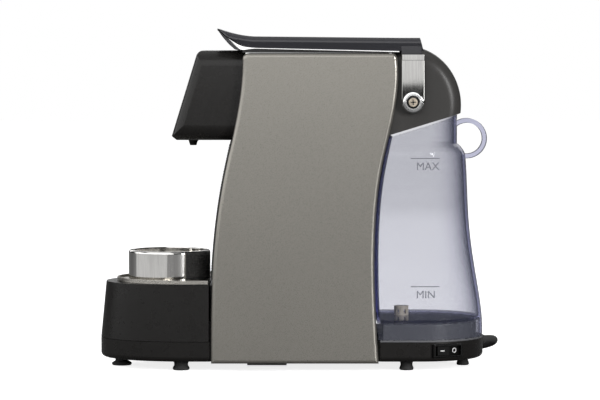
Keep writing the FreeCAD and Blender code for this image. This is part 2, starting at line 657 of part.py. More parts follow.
# ---------------------------------------------------------------- brewing group
def brew_chassis():
    """Metal frame that holds the brewing plate and guides the carriage."""
    low, high = BREW_Z - 24, BREW_Z + 26.5
    frame = box(BREW_FRONT_X - 2, BREW_FRONT_X, -CHASSIS_Y, CHASSIS_Y, low, high)
    side = box(BREW_FRONT_X - 2, CHASSIS_REAR_X, CHASSIS_Y - 2.5, CHASSIS_Y, low, high)
    sides = [side, side.mirror(V(0, 0, 0), Y)]
    tie = box(CHASSIS_REAR_X - 16, CHASSIS_REAR_X, -CHASSIS_Y, CHASSIS_Y, low, low + 2.5)
    tabs = [
        box(x, x + 10, min(s * CHASSIS_Y, s * TAB_END), max(s * CHASSIS_Y, s * TAB_END), low, low + 2.5)
        for x in (-30, 44)
        for s in (-1, 1)
    ]
    frame = join(frame, *sides, tie, *tabs)
    return frame.cut(rod(6.5, (BREW_FRONT_X - 5, 0, DUCT_Z), X, 8))


def extraction_plate():
    """Fixed plate that the pod is pressed against, with its grid of small points."""
    plate = rod(POD_R + CAGE_WALL, (BREW_FRONT_X, 0, BREW_Z), X, 2.6)
    plate = plate.cut(rod(2.6, (BREW_FRONT_X - 1, 0, DUCT_Z), X, 6))
    points = []
    for i in range(-4, 5):
        for j in range(-4, 5):
            y, z = i * 3.6, j * 3.6
            if math.hypot(y, z) < POD_R - 3.5 and math.hypot(y, BREW_Z + z - DUCT_Z) > 5:
                points.append(Part.makeCone(1.1, 0.3, 1.3, V(BREW_FRONT_X + 2.6, y, BREW_Z + z), X))
    return join(plate, *points)


def brew_carriage():
    """Pod cage on a cross plate; it slides back as the lever opens."""
    x0 = CARRIAGE_X
    cage = rod(POD_R + CAGE_WALL, (x0, 0, BREW_Z), X, CAGE_DEPTH + CAGE_WALL)
    plate = box(WING_X - 6, WING_X, GAP - CHASSIS_Y + 2.5, CHASSIS_Y - 2.5 - GAP, BREW_Z - 14, RACK_TOP)
    inlet = rod(4.0, (x0 + CAGE_DEPTH, 0, BREW_Z), X, 12)
    carriage = join(cage, plate, inlet)
    carriage = carriage.cut(Part.makeCone(POD_R, POD_R - 4, CAGE_DEPTH, V(x0, 0, BREW_Z), X))
    return carriage.cut(rod(1.8, (x0 + CAGE_DEPTH - 1, 0, BREW_Z), X, 30))


def piercing_pins():
    """Three hollow blades at the back of the cage."""
    pins = []
    for i in range(3):
        angle = math.radians(90 + 120 * i)
        y, z = 8 * math.cos(angle), BREW_Z + 8 * math.sin(angle)
        pins.append(Part.makeCone(0.3, 1.5, 5.0, V(CARRIAGE_X + CAGE_DEPTH - 5, y, z), X))
    return Part.makeCompound(pins)


def carriage_racks():
    """Two toothed bars from the carriage back to the sector gears."""
    half = lambda depth: TOOTH_THICK / 2 - depth * math.tan(PRESSURE)
    bar = box(WING_X, RACK_END_X, GEAR_Y - GEAR_WIDTH / 2, GEAR_Y + GEAR_WIDTH / 2, RACK_Z + 2.5, RACK_TOP)
    teeth = []
    for k in range(-5, 1):
        x = PIVOT_X + k * math.pi * MODULE
        tip, root = half(MODULE), half(-2.7)
        teeth.append(profile(
            [(x - root, RACK_Z + 2.7), (x - tip, RACK_Z - MODULE),
             (x + tip, RACK_Z - MODULE), (x + root, RACK_Z + 2.7)],
            GEAR_Y - GEAR_WIDTH / 2, GEAR_Y + GEAR_WIDTH / 2))
    return both_sides(join(bar, *teeth))


def hot_hose():
    """Silicone hose from the heater up to the carriage's inlet."""
    x = CARRIAGE_X + CAGE_DEPTH + 12
    points = [
        (x, 0, BREW_Z), (x + 38, 0, BREW_Z),
        (HEATER_X, HEATER_Y, BREW_Z - 22), (HEATER_X, HEATER_Y, HEATER_TOP + 8),
    ]
    return pipe(points, 3.2, 10.0, 1.8)


# ---------------------------------------------------------------- lever
def gear_tooth(angle):
    """One involute tooth of the sector gear, pointing at angle from +X towards +Z."""
    base_r = PITCH_R * math.cos(PRESSURE)

    def half_angle(r):
        pitch_half = TOOTH_THICK / 2 / PITCH_R + math.tan(PRESSURE) - PRESSURE
        if r <= base_r:
            return pitch_half
        pressure = math.acos(base_r / r)
        return pitch_half - math.tan(pressure) + pressure

    def at(r, side):
        turn = angle + side * half_angle(r)
        return V(PIVOT_X + r * math.cos(turn), 0, PIVOT_Z + r * math.sin(turn))

    root, tip = PITCH_R - 3.0, PITCH_R + MODULE
    edges = []
    for side in (-1, 1):
        edges.append(Part.LineSegment(at(root, side), at(base_r, side)).toShape())
        edges.append(Part.Arc(at(base_r, side), at(PITCH_R, side), at(tip, side)).toShape())
    edges.append(Part.LineSegment(at(tip, -1), at(tip, 1)).toShape())
    edges.append(Part.LineSegment(at(root, -1), at(root, 1)).toShape())
    return slab(edges, GEAR_Y - GEAR_WIDTH / 2, GEAR_Y + GEAR_WIDTH / 2)


def sector_gears():
    """Two toothed sectors on the lever's axle, in mesh under the racks."""
    step = 2 * math.pi / GEAR_TEETH
    teeth = [gear_tooth(math.pi / 2 + (k + 0.5) * step) for k in range(-2, 6)]
    y0 = GEAR_Y - GEAR_WIDTH / 2
    body = rod(PITCH_R - 2.5, (PIVOT_X, y0, PIVOT_Z), Y, GEAR_WIDTH)
    spread = [math.pi / 2 + (k + 0.5) * step for k in (-2.5, 5.5)]
    far = 60
    wedge = [(PIVOT_X, PIVOT_Z)]
    for i in range(4):
        turn = spread[0] + (spread[1] - spread[0]) * i / 3
        wedge.append((PIVOT_X + far * math.cos(turn), PIVOT_Z + far * math.sin(turn)))
    body = body.common(profile(wedge, y0, y0 + GEAR_WIDTH))
    hub = rod(AXLE_R + 4.5, (PIVOT_X, y0 - 2, PIVOT_Z), Y, GEAR_WIDTH + 4)
    gear = join(body, hub, *teeth).cut(rod(AXLE_R, (PIVOT_X, y0 - 5, PIVOT_Z), Y, GEAR_WIDTH + 12))
    return both_sides(gear)


def lever_axle():
    """Steel axle from arm to arm, with a threaded hole in each end."""
    half = ARM_INNER_Y + 3.6
    axle = rod(AXLE_R, (PIVOT_X, -half, PIVOT_Z), Y, 2 * half)
    for s in (-1, 1):
        axle = axle.cut(rod(2.0, (PIVOT_X, s * half, PIVOT_Z), -Y * s, 12))
    return axle


def axle_bushes():
    """Flanged plastic bushes that carry the axle in the dome's side walls."""
    y = DOME_HALF - WALL
    barrel = rod(6.0, (PIVOT_X, y - 1, PIVOT_Z), Y, WALL + 1)
    bush = join(barrel, rod(8.0, (PIVOT_X, y - 1.8, PIVOT_Z), Y, 1.8))
    return both_sides(bush.cut(rod(AXLE_R + RUN, (PIVOT_X, y - 5, PIVOT_Z), Y, 12)))


def lever_frame():
    """Bright metal frame of the lever: two pivot arms and a rail along each lower edge up to the tip."""
    z0, z1 = RAIL_Z, RAIL_Z + 3.2
    arm_top = z1
    arm = box(PIVOT_X - ARM_WIDTH / 2, PIVOT_X + ARM_WIDTH / 2, ARM_INNER_Y, ARM_OUTER_Y, PIVOT_Z, arm_top)
    arm = join(arm, rod(ARM_WIDTH / 2, (PIVOT_X, ARM_INNER_Y, PIVOT_Z), Y, ARM_OUTER_Y - ARM_INNER_Y))
    rail = profile([
        (PIVOT_X + ARM_WIDTH / 2, z0), (PIVOT_X + ARM_WIDTH / 2, z1), (-44, z1 + 0.6), (-54, z1 + 5.0),
        (LEVER_TIP_X + 3.5, LEVER_TIP_TOP - 2.4), (LEVER_TIP_X, LEVER_TIP_TOP - 1.5),
        (-57, z1 + 2.0), (-48, z0),
    ], ARM_INNER_Y, ARM_OUTER_Y)
    arm = join(arm, rail)
    arm = arm.cut(rod(AXLE_R, (PIVOT_X, ARM_INNER_Y - 1, PIVOT_Z), Y, 1 + 3.6))
    arm = arm.cut(rod(2.2, (PIVOT_X, ARM_INNER_Y, PIVOT_Z), Y, 20))
    arm = arm.cut(rod(6.0, (PIVOT_X, ARM_OUTER_Y - 1.0, PIVOT_Z), Y, 10))
    lip = profile([
        (-54, z1 + 4.4), (LEVER_TIP_X + 3.5, LEVER_TIP_TOP - 2.4),
        (LEVER_TIP_X, LEVER_TIP_TOP - 1.5), (-57, z1 + 2.0),
    ], -ARM_OUTER_Y, ARM_OUTER_Y)
    ring = tube(9.1, 6.0, (PIVOT_X, ARM_OUTER_Y - 0.5, PIVOT_Z), Y, HALF - ARM_OUTER_Y + 0.5)
    arm = join(arm, ring)
    return join(arm, arm.mirror(V(0, 0, 0), Y), lip)


def lever_cover():
    """Glossy cover of the lever: a shallow channel that turns up to a finger tip in front."""
    top = [
        (LEVER_REAR_X, RAIL_Z + 3.4), (LEVER_REAR_X - 1.6, LEVER_TOP - 1.0), (LEVER_REAR_X - 3.0, LEVER_TOP),
        (-38, LEVER_TOP), (-50, LEVER_TOP + 1.6), (-60, LEVER_TOP + 4.6), (LEVER_TIP_X, LEVER_TIP_TOP),
    ]
    under = [(LEVER_TIP_X + 3.6, LEVER_TIP_TOP - 2.2), (-54, RAIL_Z + 8.4), (-44, RAIL_Z + 4.0)]
    shape = profile(top + under, -LEVER_HALF, LEVER_HALF)
    hollow_top = LEVER_TOP - WALL
    hollow = profile([
        (LEVER_REAR_X - WALL, RAIL_Z - 5), (LEVER_REAR_X - WALL, hollow_top), (-38, hollow_top),
        (-46, hollow_top + 0.6),
        (-56, RAIL_Z + 5.5), (-56, RAIL_Z - 5),
    ], WALL - LEVER_HALF, LEVER_HALF - WALL)
    shape = shape.cut(hollow)
    inner_half = LEVER_HALF - WALL
    dome_room = box(LEVER_REAR_X - 20, LEVER_REAR_X + 5, -inner_half, inner_half, 200, DOME_Z + DOME_B + 1.2)
    return shape.cut(dome_room)


def pivot_screws():
    one = screw((PIVOT_X, ARM_OUTER_Y + 0.6, PIVOT_Z), -Y, 4.0, 1.6, 1.98, 8.0)
    return both_sides(one)


# ---------------------------------------------------------------- rear dome and tank
def dome_solid(shrink):
    """Solid dome: an ellipse from the side, its side edges rounded, drawn in by shrink."""
    ellipse = Part.Ellipse(V(0, 0, DOME_B - shrink), V(DOME_A - shrink, 0, 0), V(0, 0, 0))
    face = Part.Face(Part.Wire(ellipse.toShape()))
    face.translate(V(DOME_X, shrink - DOME_HALF, DOME_Z))
    solid = face.extrude(V(0, 2 * (DOME_HALF - shrink), 0))
    return solid.makeFillet(DOME_ROUND - shrink, solid.Edges)


def rear_dome():
    body_zone = body_slab(0, -0.9, PANEL_FOOT, BODY_TOP, -80, 80)
    high_front = box(-100, rear_x(BODY_TOP) - 0.9, -80, 80, BODY_TOP - 2, BODY_TOP + 40)
    edge = half_space_below(DOME_EDGE_X, DOME_EDGE_Z, TANK_SLOPE_DEG)
    shell = dome_solid(0).cut(dome_solid(WALL)).cut(body_zone).cut(high_front).cut(edge)
    return shell.cut(rod(6.0 + 0.02, (PIVOT_X, -80, PIVOT_Z), Y, 160))


def dome_floor():
    """Plate that closes the dome from below, parallel to its slanted edge."""
    edge = half_space_below(DOME_EDGE_X, DOME_EDGE_Z + 0.8, TANK_SLOPE_DEG)
    lid = half_space_below(DOME_EDGE_X, DOME_EDGE_Z + 2.9, TANK_SLOPE_DEG)
    body_zone = body_slab(0, -0.7, PANEL_FOOT, BODY_TOP, -80, 80)
    return dome_solid(WALL + SEAT).common(lid).cut(edge).cut(body_zone)


def tank_sections(shrink, levels):
    """Plan outlines of the tank's outside at each (z, rear x, half width), drawn in by shrink."""
    wires = []
    for z, x_rear, half in levels:
        a = x_rear - REAR_CENTRE_X - shrink
        wires.append(d_wire(rear_x(z) + 1.0 + shrink, REAR_CENTRE_X, a, half - shrink, z))
    return wires


def water_tank():
    """Clear tank: rear-bellied body, rounded shoulder, narrow neck, skirt round the plinth, ring handle."""
    rear = lambda reach: FOOT_REAR_X + reach
    body = [
        (PAN_RIM + 2.0, rear(TANK_REACH), BASE_HALF - 0.5),
        (TANK_FLOOR + 4, rear(TANK_REACH - 0.6), BASE_HALF - 0.5),
        (100.0, rear(TANK_REACH - 8.6), BASE_HALF - 1.0),
        (150.0, rear(TANK_REACH - 13.8), BASE_HALF - 1.4),
        (TANK_SHOULDER, rear(TANK_REACH - 16.3), BASE_HALF - 1.6),
    ]
    neck_half = CORE_HALF - 1.4
    neck = [
        (TANK_SHOULDER, rear(TANK_REACH - 16.3), BASE_HALF - 1.6),
        (TANK_SHOULDER + 3.5, rear(TANK_REACH - 18.0), BASE_HALF - 2.4),
        (TANK_SHOULDER + 7.0, rear(TANK_REACH - 20.6), neck_half + 1.6),
        (TANK_SHOULDER + 10.0, rear(TANK_REACH - 24.0), neck_half),
        (TANK_SHOULDER + 40.0, rear(TANK_REACH - 24.0), neck_half),
    ]
    belly, throat = tank_sections(0, body), tank_sections(0, neck)
    outer = join(Part.makeLoft(belly, True), Part.makeLoft(throat, True, True))
    over_floor = box(0, 300, -99, 99, TANK_FLOOR + TANK_WALL, 400)
    inner = join(
        Part.makeLoft(tank_sections(TANK_WALL, body), True).common(over_floor),
        Part.makeLoft(tank_sections(TANK_WALL, neck), True, True),
    )
    ring = tube(HANDLE_R, HANDLE_R - 4.2, (HANDLE_X, -8, HANDLE_Z), Y, 16)
    skirt_room = Part.makeLoft(tank_sections(TANK_WALL - 0.8, body[:2]), True)
    skirt_room = skirt_room.common(box(0, 300, -99, 99, 0, TANK_FLOOR))
    skirt_room = join(skirt_room, box(60, PLINTH_FRONT_X + 4, -58, 58, 0, TANK_FLOOR))
    below = half_space_below(DOME_EDGE_X, DOME_EDGE_Z - 2.3, TANK_SLOPE_DEG)
    above = box(0, 400, -200, 200, 0, 400).cut(below)
    tank = outer.cut(above)
    tank = join(tank, ring).cut(inner).cut(skirt_room)
    return tank.cut(rod(4.5 + 0.02, (PORT_X, 0, TANK_FLOOR - 5), Z, 12))


def tank_valve_body():
    """Valve housing on the tank's floor, with its stub through the floor."""
    z = TANK_FLOOR + TANK_WALL
    cup = tube(6.7, 4.6, (PORT_X, 0, z), Z, 8.7)
    cap = tube(6.7, 1.6, (PORT_X, 0, z + 7.3), Z, 1.4)
    stub = tube(4.5, 2.8, (PORT_X, 0, TANK_FLOOR), Z, TANK_WALL + 0.4)
    seat = tube(6.7, 2.8, (PORT_X, 0, z), Z, 0.4)
    body = join(cup, cap, stub, seat)
    for angle in range(0, 360, 60):
        window = box(3, 9, -1.3, 1.3, z + 1.6, z + 5.6)
        window.rotate(V(0, 0, 0), Z, angle)
        window.translate(V(PORT_X, 0, 0))
        body = body.cut(window)
    return body


def tank_poppet():
    """Valve plug, held up off its seat by the port's pin while the tank is home."""
    z = TANK_FLOOR + TANK_WALL
    disc = rod(3.9, (PORT_X, 0, z + 0.9), Z, 1.2)
    low = rod(1.6, (PORT_X, 0, TANK_FLOOR + 0.05), Z, z + 1.0 - TANK_FLOOR)
    high = rod(1.2, (PORT_X, 0, z + 2.0), Z, 6.0)
    return join(disc, low, high)


def tank_valve_spring():
    z = TANK_FLOOR + TANK_WALL
    return coil_spring(PORT_X, 0, z + 2.1, z + 7.3, 2.6, 0.5, 3)


# ---------------------------------------------------------------- drip tray, bin, grid and ring
def drip_tray():
    """Drawer: the bowl under the cup, and a low tray behind it for the pod bin."""
    low = PAN_RIM + GAP
    wires = lambda inset, z0, z1: [
        d_wire(TRAY_REAR_X - inset, FRONT_CENTRE_X, FRONT_A - inset, BASE_HALF - inset, z0),
        d_wire(TRAY_REAR_X - inset, FRONT_CENTRE_X, FRONT_A - 5.0 - inset, BASE_HALF - 1.5 - inset, z1),
    ]
    outer = Part.makeLoft(wires(0, low, TRAY_TOP), True, True)
    bowl = Part.makeLoft(wires(WALL, low + WALL, TRAY_TOP - WALL), True, True)
    mouth_end = (TRAY_REAR_X - 4, FRONT_CENTRE_X, GRID_A - 2.5, BASE_HALF - 5.0)
    mouth = d_prism(*mouth_end, TRAY_TOP - 2 * WALL, TRAY_TOP + 1)
    rear = box(TRAY_REAR_X - 1, BIN_REAR_X + 2.4, -DRAWER_REAR_HALF, DRAWER_REAR_HALF, low, low + 17)
    inner_half = DRAWER_REAR_HALF - 2
    rear = rear.cut(box(TRAY_REAR_X, BIN_REAR_X + 0.4, -inner_half, inner_half, low + 2, low + 30))
    return join(outer.cut(bowl).cut(mouth), rear)


def pod_bin():
    """Open box behind the drip tray that catches used pods."""
    low = PAN_RIM + GAP + 2
    half = DRAWER_REAR_HALF - 2 - SEAT
    outer = box(TRAY_REAR_X + 0.6, BIN_REAR_X, -half, half, low, BIN_TOP)
    outer = rounded(outer, 4, lambda e: e.BoundBox.ZLength > 20)
    inner = box(TRAY_REAR_X + 0.6 + 1.8, BIN_REAR_X - 1.8, 1.8 - half, half - 1.8, low + 1.8, BIN_TOP + 5)
    inner = rounded(inner, 2.2, lambda e: e.BoundBox.ZLength > 20)
    return outer.cut(inner)


def drip_grid():
    """Brushed plate with a raised rim over the drip tray, pierced under the cup."""
    low = TRAY_TOP + GAP
    rear = TRAY_REAR_X - 0.8
    pan = d_prism(rear, FRONT_CENTRE_X, GRID_A, BASE_HALF - 2.5, low, low + 3.4)
    pan = pan.cut(d_prism(rear + 1, FRONT_CENTRE_X, GRID_A - 1.2, BASE_HALF - 3.7, low + 1.2, low + 5))
    holes = []
    for i in range(-4, 5):
        for j in range(-4, 5):
            x, y = 8.4 * i + 4.2 * (j % 2), 7.6 * j
            if math.hypot(x, y) < CUP_RING_R - 6:
                holes.append(rod(2.0, (CUP_X + x, y, low - 1), Z, 4))
    return pan.cut(Part.makeCompound(holes))


def cup_disc(radius, z0, z1):
    """A disc at the cup's place."""
    return rod(radius, (CUP_X, 0, z0), Z, z1 - z0)


def cup_ring():
    """Bright stand that the cup is set on: a round wall with a rolled lip, and a ledge for its grid."""
    low = TRAY_TOP + GAP + 1.2 + GAP
    outer = cup_disc(CUP_RING_R, low, CUP_RING_TOP)
    outer = rounded(outer, 1.8, lambda e: e.BoundBox.ZMin > CUP_RING_TOP - 0.01)
    ring = outer.cut(cup_disc(CUP_RING_R - 2, low - 1, CUP_RING_TOP - 4))
    ring = ring.cut(cup_disc(CUP_RING_R - 4, low - 1, CUP_RING_TOP + 1))
    ledge = cup_disc(CUP_RING_R - 1, CUP_GRID_Z - 2, CUP_GRID_Z).cut(cup_disc(CUP_RING_R - 6, 0, 200))
    return join(ring, ledge)


def cup_grid():
    """Pierced plate inside the cup ring."""
    radius = CUP_RING_R - 4 - SEAT
    plate = cup_disc(radius, CUP_GRID_Z, CUP_GRID_Z + 1.4)
    keep = cup_disc(radius - 5, CUP_GRID_Z - 1, CUP_GRID_Z + 3)
    slots = []
    for i in range(-6, 7):
        y = 6.2 * i
        for x0, x1 in ((CUP_X - radius, CUP_X - 13), (CUP_X - 10, CUP_X + radius)):
            slots.append(box(x0, x1, y - 1.6, y + 1.6, CUP_GRID_Z - 1, CUP_GRID_Z + 3))
    return plate.cut(Part.makeCompound(slots).common(keep))


# ---------------------------------------------------------------- pump, heater and electrics
def pump_body():
    """Plastic pump barrel, with its inlet below and its outlet above."""
    barrel = rod(11.5, (PUMP_X, PUMP_Y, PUMP_BASE + 8), Z, 84)
    inlet = rod(3.2, (PUMP_X, PUMP_Y, PUMP_BASE - 2), Z, 12)
    outlet = rod(6.0, (PUMP_X, PUMP_Y, PUMP_BASE + 90), Z, 8)
    body = join(barrel, inlet, outlet)
    body = body.cut(rod(9.0, (PUMP_X, PUMP_Y, PUMP_BASE + 12), Z, 66))
    return body.cut(rod(1.8, (PUMP_X, PUMP_Y, PUMP_BASE - 5), Z, 130))


def pump_coil():
    """Moulded coil round the barrel."""
    block = box(PUMP_X - 20, PUMP_X + 20, PUMP_Y - 17, PUMP_Y + 17, PUMP_BASE + 28, PUMP_BASE + 66)
    block = rounded(block, 4, lambda e: e.BoundBox.ZLength > 30)
    lugs = box(PUMP_X - 24, PUMP_X - 19, PUMP_Y - 7, PUMP_Y + 7, PUMP_BASE + 52, PUMP_BASE + 60)
    return join(block, lugs).cut(rod(11.5 + SEAT, (PUMP_X, PUMP_Y, PUMP_BASE), Z, 120))


def pump_yoke():
    """Steel strap round the coil."""
    low, high = PUMP_BASE + 25, PUMP_BASE + 69
    strap = box(PUMP_X - 12, PUMP_X + 12, PUMP_Y - 20, PUMP_Y + 20, low, high)
    strap = strap.cut(box(PUMP_X - 15, PUMP_X + 15, PUMP_Y - 17.4, PUMP_Y + 17.4, low + 2.6, high - 2.6))
    return strap.cut(rod(11.5 + SEAT, (PUMP_X, PUMP_Y, PUMP_BASE), Z, 120))


def pump_mounts():
    """Rubber rings that hold the barrel, each on an arm from the housing's far wall."""
    rings = []
    for z in (PUMP_BASE + 12, PUMP_BASE + 76):
        arm = box(PUMP_X - 6, PUMP_X + 6, PUMP_Y + 10, CORE_HALF - WALL, z, z + 8)
        cuff = rod(15, (PUMP_X, PUMP_Y, z), Z, 8)
        rings.append(join(cuff, arm).cut(rod(11.5, (PUMP_X, PUMP_Y, z - 1), Z, 10)))
    return Part.makeCompound(rings)


def pump_plunger():
    """Magnetic plunger that the coil drives up and down in the barrel."""
    body = rod(9.0 - GAP, (PUMP_X, PUMP_Y, PUMP_BASE + 22), Z, 34)
    return body.cut(rod(2.2, (PUMP_X, PUMP_Y, PUMP_BASE), Z, 90))


def pump_spring():
    return coil_spring(PUMP_X, PUMP_Y, PUMP_BASE + 56.2, PUMP_BASE + 78, 6.4, 1.2, 4)


def flow_meter():
    """Round meter housing with an inlet from the tank's port and an outlet on top."""
    z = PORT_TUBE_Z
    case = rod(14, (METER_X, 0, z - 6), Z, 13).cut(rod(12, (METER_X, 0, z - 4), Z, 9))
    inlet = tube(3.2, 1.8, (METER_X + 12.5, 0, z), X, 10)
    outlet = tube(3.2, 1.8, (METER_X - 8, 0, z + 6), Z, 5)
    pin = rod(0.8, (METER_X, 0, z - 5), Z, 11)
    post = rod(4, (METER_X, 0, FOOT_HEIGHT + WALL), Z, z - 5.5 - FOOT_HEIGHT - WALL)
    meter = join(case, inlet, outlet, post)
    meter = meter.cut(rod(1.8, (METER_X + 10, 0, z), X, 6)).cut(rod(1.8, (METER_X - 8, 0, z + 3), Z, 6))
    return join(meter, pin)


def flow_rotor():
    """Paddle wheel on the meter's pin."""
    z = PORT_TUBE_Z - 3
    hub = rod(2.4, (METER_X, 0, z), Z, 6)
    blades = []
    for i in range(6):
        blade = box(2, 10.6, -0.5, 0.5, z, z + 6)
        blade.rotate(V(0, 0, 0), Z, 60 * i)
        blade.translate(V(METER_X, 0, 0))
        blades.append(blade)
    return join(hub, *blades).cut(rod(0.8 + RUN, (METER_X, 0, z - 1), Z, 10))


def supply_hoses():
    """Hoses from the port to the meter, from the meter to the pump and from the pump to the heater."""
    z = PORT_TUBE_Z
    over = PUMP_BASE - 8
    first = tube(4.6, 3.2, (METER_X + 16, 0, z), X, PORT_X - 6 - METER_X - 16)
    second = pipe([
        (METER_X - 8, 0, z + 7.6), (METER_X - 8, 0, over),
        (PUMP_X, PUMP_Y, over), (PUMP_X, PUMP_Y, PUMP_BASE + 7.6),
    ], 4.6, 5.5, 3.2)
    top = PUMP_BASE + 98
    third = pipe([
        (PUMP_X, PUMP_Y, top), (PUMP_X, PUMP_Y, top + 14), (HEATER_X, HEATER_Y + 31, top + 14),
        (HEATER_X, HEATER_Y + 31, HEATER_LOW + 6), (HEATER_X, HEATER_Y + 20, HEATER_LOW + 6),
    ], 3.2, 5.0, 1.8)
    return Part.makeCompound([first, second, third])


def heater_block():
    """Cast through-flow heater with fins, a water inlet low down and an outlet on top."""
    body = rod(20, (HEATER_X, HEATER_Y, HEATER_LOW), Z, HEATER_TOP - HEATER_LOW)
    fins = [rod(22, (HEATER_X, HEATER_Y, HEATER_LOW + 10 + 11 * i), Z, 3) for i in range(5)]
    outlet = rod(3.2, (HEATER_X, HEATER_Y, HEATER_TOP - 1), Z, 9)
    arm = box(HEATER_X - 8, HEATER_X + 8, WALL - CORE_HALF, HEATER_Y - 15, HEATER_LOW + 30, HEATER_LOW + 40)
    block = join(body, *fins, outlet, arm)
    return block.cut(rod(1.8, (HEATER_X, HEATER_Y, HEATER_TOP - 6), Z, 20))


def thermostats():
    """Thermostat and thermal fuse clamped to the heater's side."""
    discs = []
    for z in (HEATER_LOW + 18, HEATER_LOW + 51):
        disc = rod(7, (HEATER_X - 22, HEATER_Y, z), -X, 5)
        tab = box(HEATER_X - 33, HEATER_X - 26, HEATER_Y - 5, HEATER_Y - 3, z - 1.5, z + 1.5)
        discs.append(join(disc, tab))
    return Part.makeCompound(discs)


def control_board():
    """Main circuit board on the near wall, with its relay, capacitor, transformer and connectors."""
    y = WALL + 5.0 - CORE_HALF
    low = 62.0
    board = box(2, 66, y, y + 1.6, low, low + 60)
    relay = box(8, 26, y + 1, y + 15, low + 6, low + 20)
    supply = box(32, 58, y + 1, y + 18, low + 8, low + 30)
    capacitor = rod(7, (18, y + 1, low + 38), Y, 17)
    plugs = [box(30 + 12 * i, 39 + 12 * i, y + 1, y + 9, low + 48, low + 55) for i in range(3)]
    posts = [rod(3, (x, WALL - CORE_HALF, z), Y, 5.5) for x in (6, 62) for z in (low + 4, low + 56)]
    return join(board, relay, supply, capacitor, *plugs, *posts)


# ---------------------------------------------------------------- switch
def switch_housing():
    """Rocker switch body: bezel outside, box and blade terminals inside."""
    bezel = centred(-2.2, 1.6, BEZEL_W / 2, BEZEL_H / 2)
    bezel = rounded(bezel, 0.8, lambda e: e.BoundBox.XMin > 1.59)
    body = centred(-16, -1.5, SWITCH_HALF, SWITCH_DEEP)
    room = centred(-7, 3, ROCKER_L / 2 + GAP, ROCKER_H / 2 + GAP)
    blades = [box(-24, -15, y - 0.4, y + 0.4, -3, 3) for y in (-8, 0, 8)]
    shell = join(bezel, body).cut(room)
    pin = rod(1.0, (-3.2, 0, -ROCKER_H / 2 - 1), Z, ROCKER_H + 2)
    return switch_frame(join(shell, pin, *blades))


def switch_rocker():
    """Rocker with its two faces sloping down from the middle, the off side pressed in."""
    half = ROCKER_L / 2 - 0.8
    crown = 1.9
    side = crown - half * math.tan(math.radians(ROCKER_TILT))
    points = [V(-4.6, -half, 0), V(side, -half, 0), V(crown, 0, 0), V(side, half, 0), V(-4.6, half, 0)]
    face = Part.Face(Part.makePolygon(points + points[:1]))
    face.translate(V(0, 0, -ROCKER_H / 2))
    rocker = face.extrude(V(0, 0, ROCKER_H))
    rocker = join(rocker, rod(2.2, (-3.2, 0, -ROCKER_H / 2), Z, ROCKER_H))
    rocker = rocker.cut(rod(1.0 + RUN, (-3.2, 0, -10), Z, 20))
    rocker.rotate(V(-3.2, 0, 0), Z, ROCKER_TILT)
    return switch_frame(rocker)


# ---------------------------------------------------------------- mains cord
def strain_relief():
    """Tapered rubber sleeve where the cord leaves the base, with a flange inside the wall."""
    root = RELIEF_ROOT
    through = rod(RELIEF_R, tuple(root - RELIEF_DIR * 9.2), RELIEF_DIR, 9.7)
    flange = rod(RELIEF_R + 1.0, tuple(root - RELIEF_DIR * 9.2), RELIEF_DIR, 2.4)
    sleeve = Part.makeCone(RELIEF_R, CORD_R + 1.1, RELIEF_LONG, root, RELIEF_DIR)
    return join(through, flange, sleeve)


def cord_radius(run_in, run_out, turn):
    return 0.45 * min(run_in, run_out) / math.tan(turn / 2)


def cord_tube(points, name):
    """Round cord along straight runs and tangent arcs, with its volume checked against its length."""
    radii = []

    def radius_of(run_in, run_out, turn):
        radii.append(round(cord_radius(run_in, run_out, turn), 1))
        return cord_radius(run_in, run_out, turn)

    route = bent_route([V(*p) for p in points], radius_of)
    wire = Part.Wire(route)
    section = Part.Wire(Part.makeCircle(CORD_R, V(*points[0]), V(*points[1]) - V(*points[0])))
    solid = wire.makePipeShell([section], True, True)
    share = solid.Volume / (math.pi * CORD_R ** 2 * wire.Length)
    print(name, "radii", radii, "length", round(wire.Length, 1), "volume share", round(share, 4))
    return solid


def cord_coil():
    """Outer shape of the wound cord: a flat ring, two turns on the floor and one on top."""
    x, y = COIL_CENTRE
    ring = tube(COIL_MEAN_R + 7.0, COIL_MEAN_R - 7.0, (x, y, 0.2), Z, 13.4)
    return rounded(ring, 3.0, lambda e: True)


def cord_tie():
    """Soft tie round the coil."""
    x, y = COIL_CENTRE
    out_r, in_r = COIL_MEAN_R + 8.4, COIL_MEAN_R - 8.4
    loop = box(x - out_r, x - in_r, y - 5, y + 5, 0.0, 15.2)
    core = tube(COIL_MEAN_R + 7.0 + SEAT, COIL_MEAN_R - 7.0 - SEAT, (x, y, 0.0), Z, 13.8)
    return loop.cut(core)


def plug():
    """Flat two-pin mains plug lying on the floor beside the coil, on the cord's other end."""
    x = COIL_CENTRE[0] + 25.0
    y = COIL_CENTRE[1] + COIL_MEAN_R
    body = rounded(box(x + 15, x + 50, y - 15, y + 15, 0.0, 13.0), 3.0, lambda e: True)
    nose = Part.makeCone(4.8, 6.0, 16.0, V(x, y, 6.0), X)
    pins = [rod(2.0, (x + 49, y + dy, 6.7), X, 19) for dy in (-9.5, 9.5)]
    return join(body, nose, *pins)


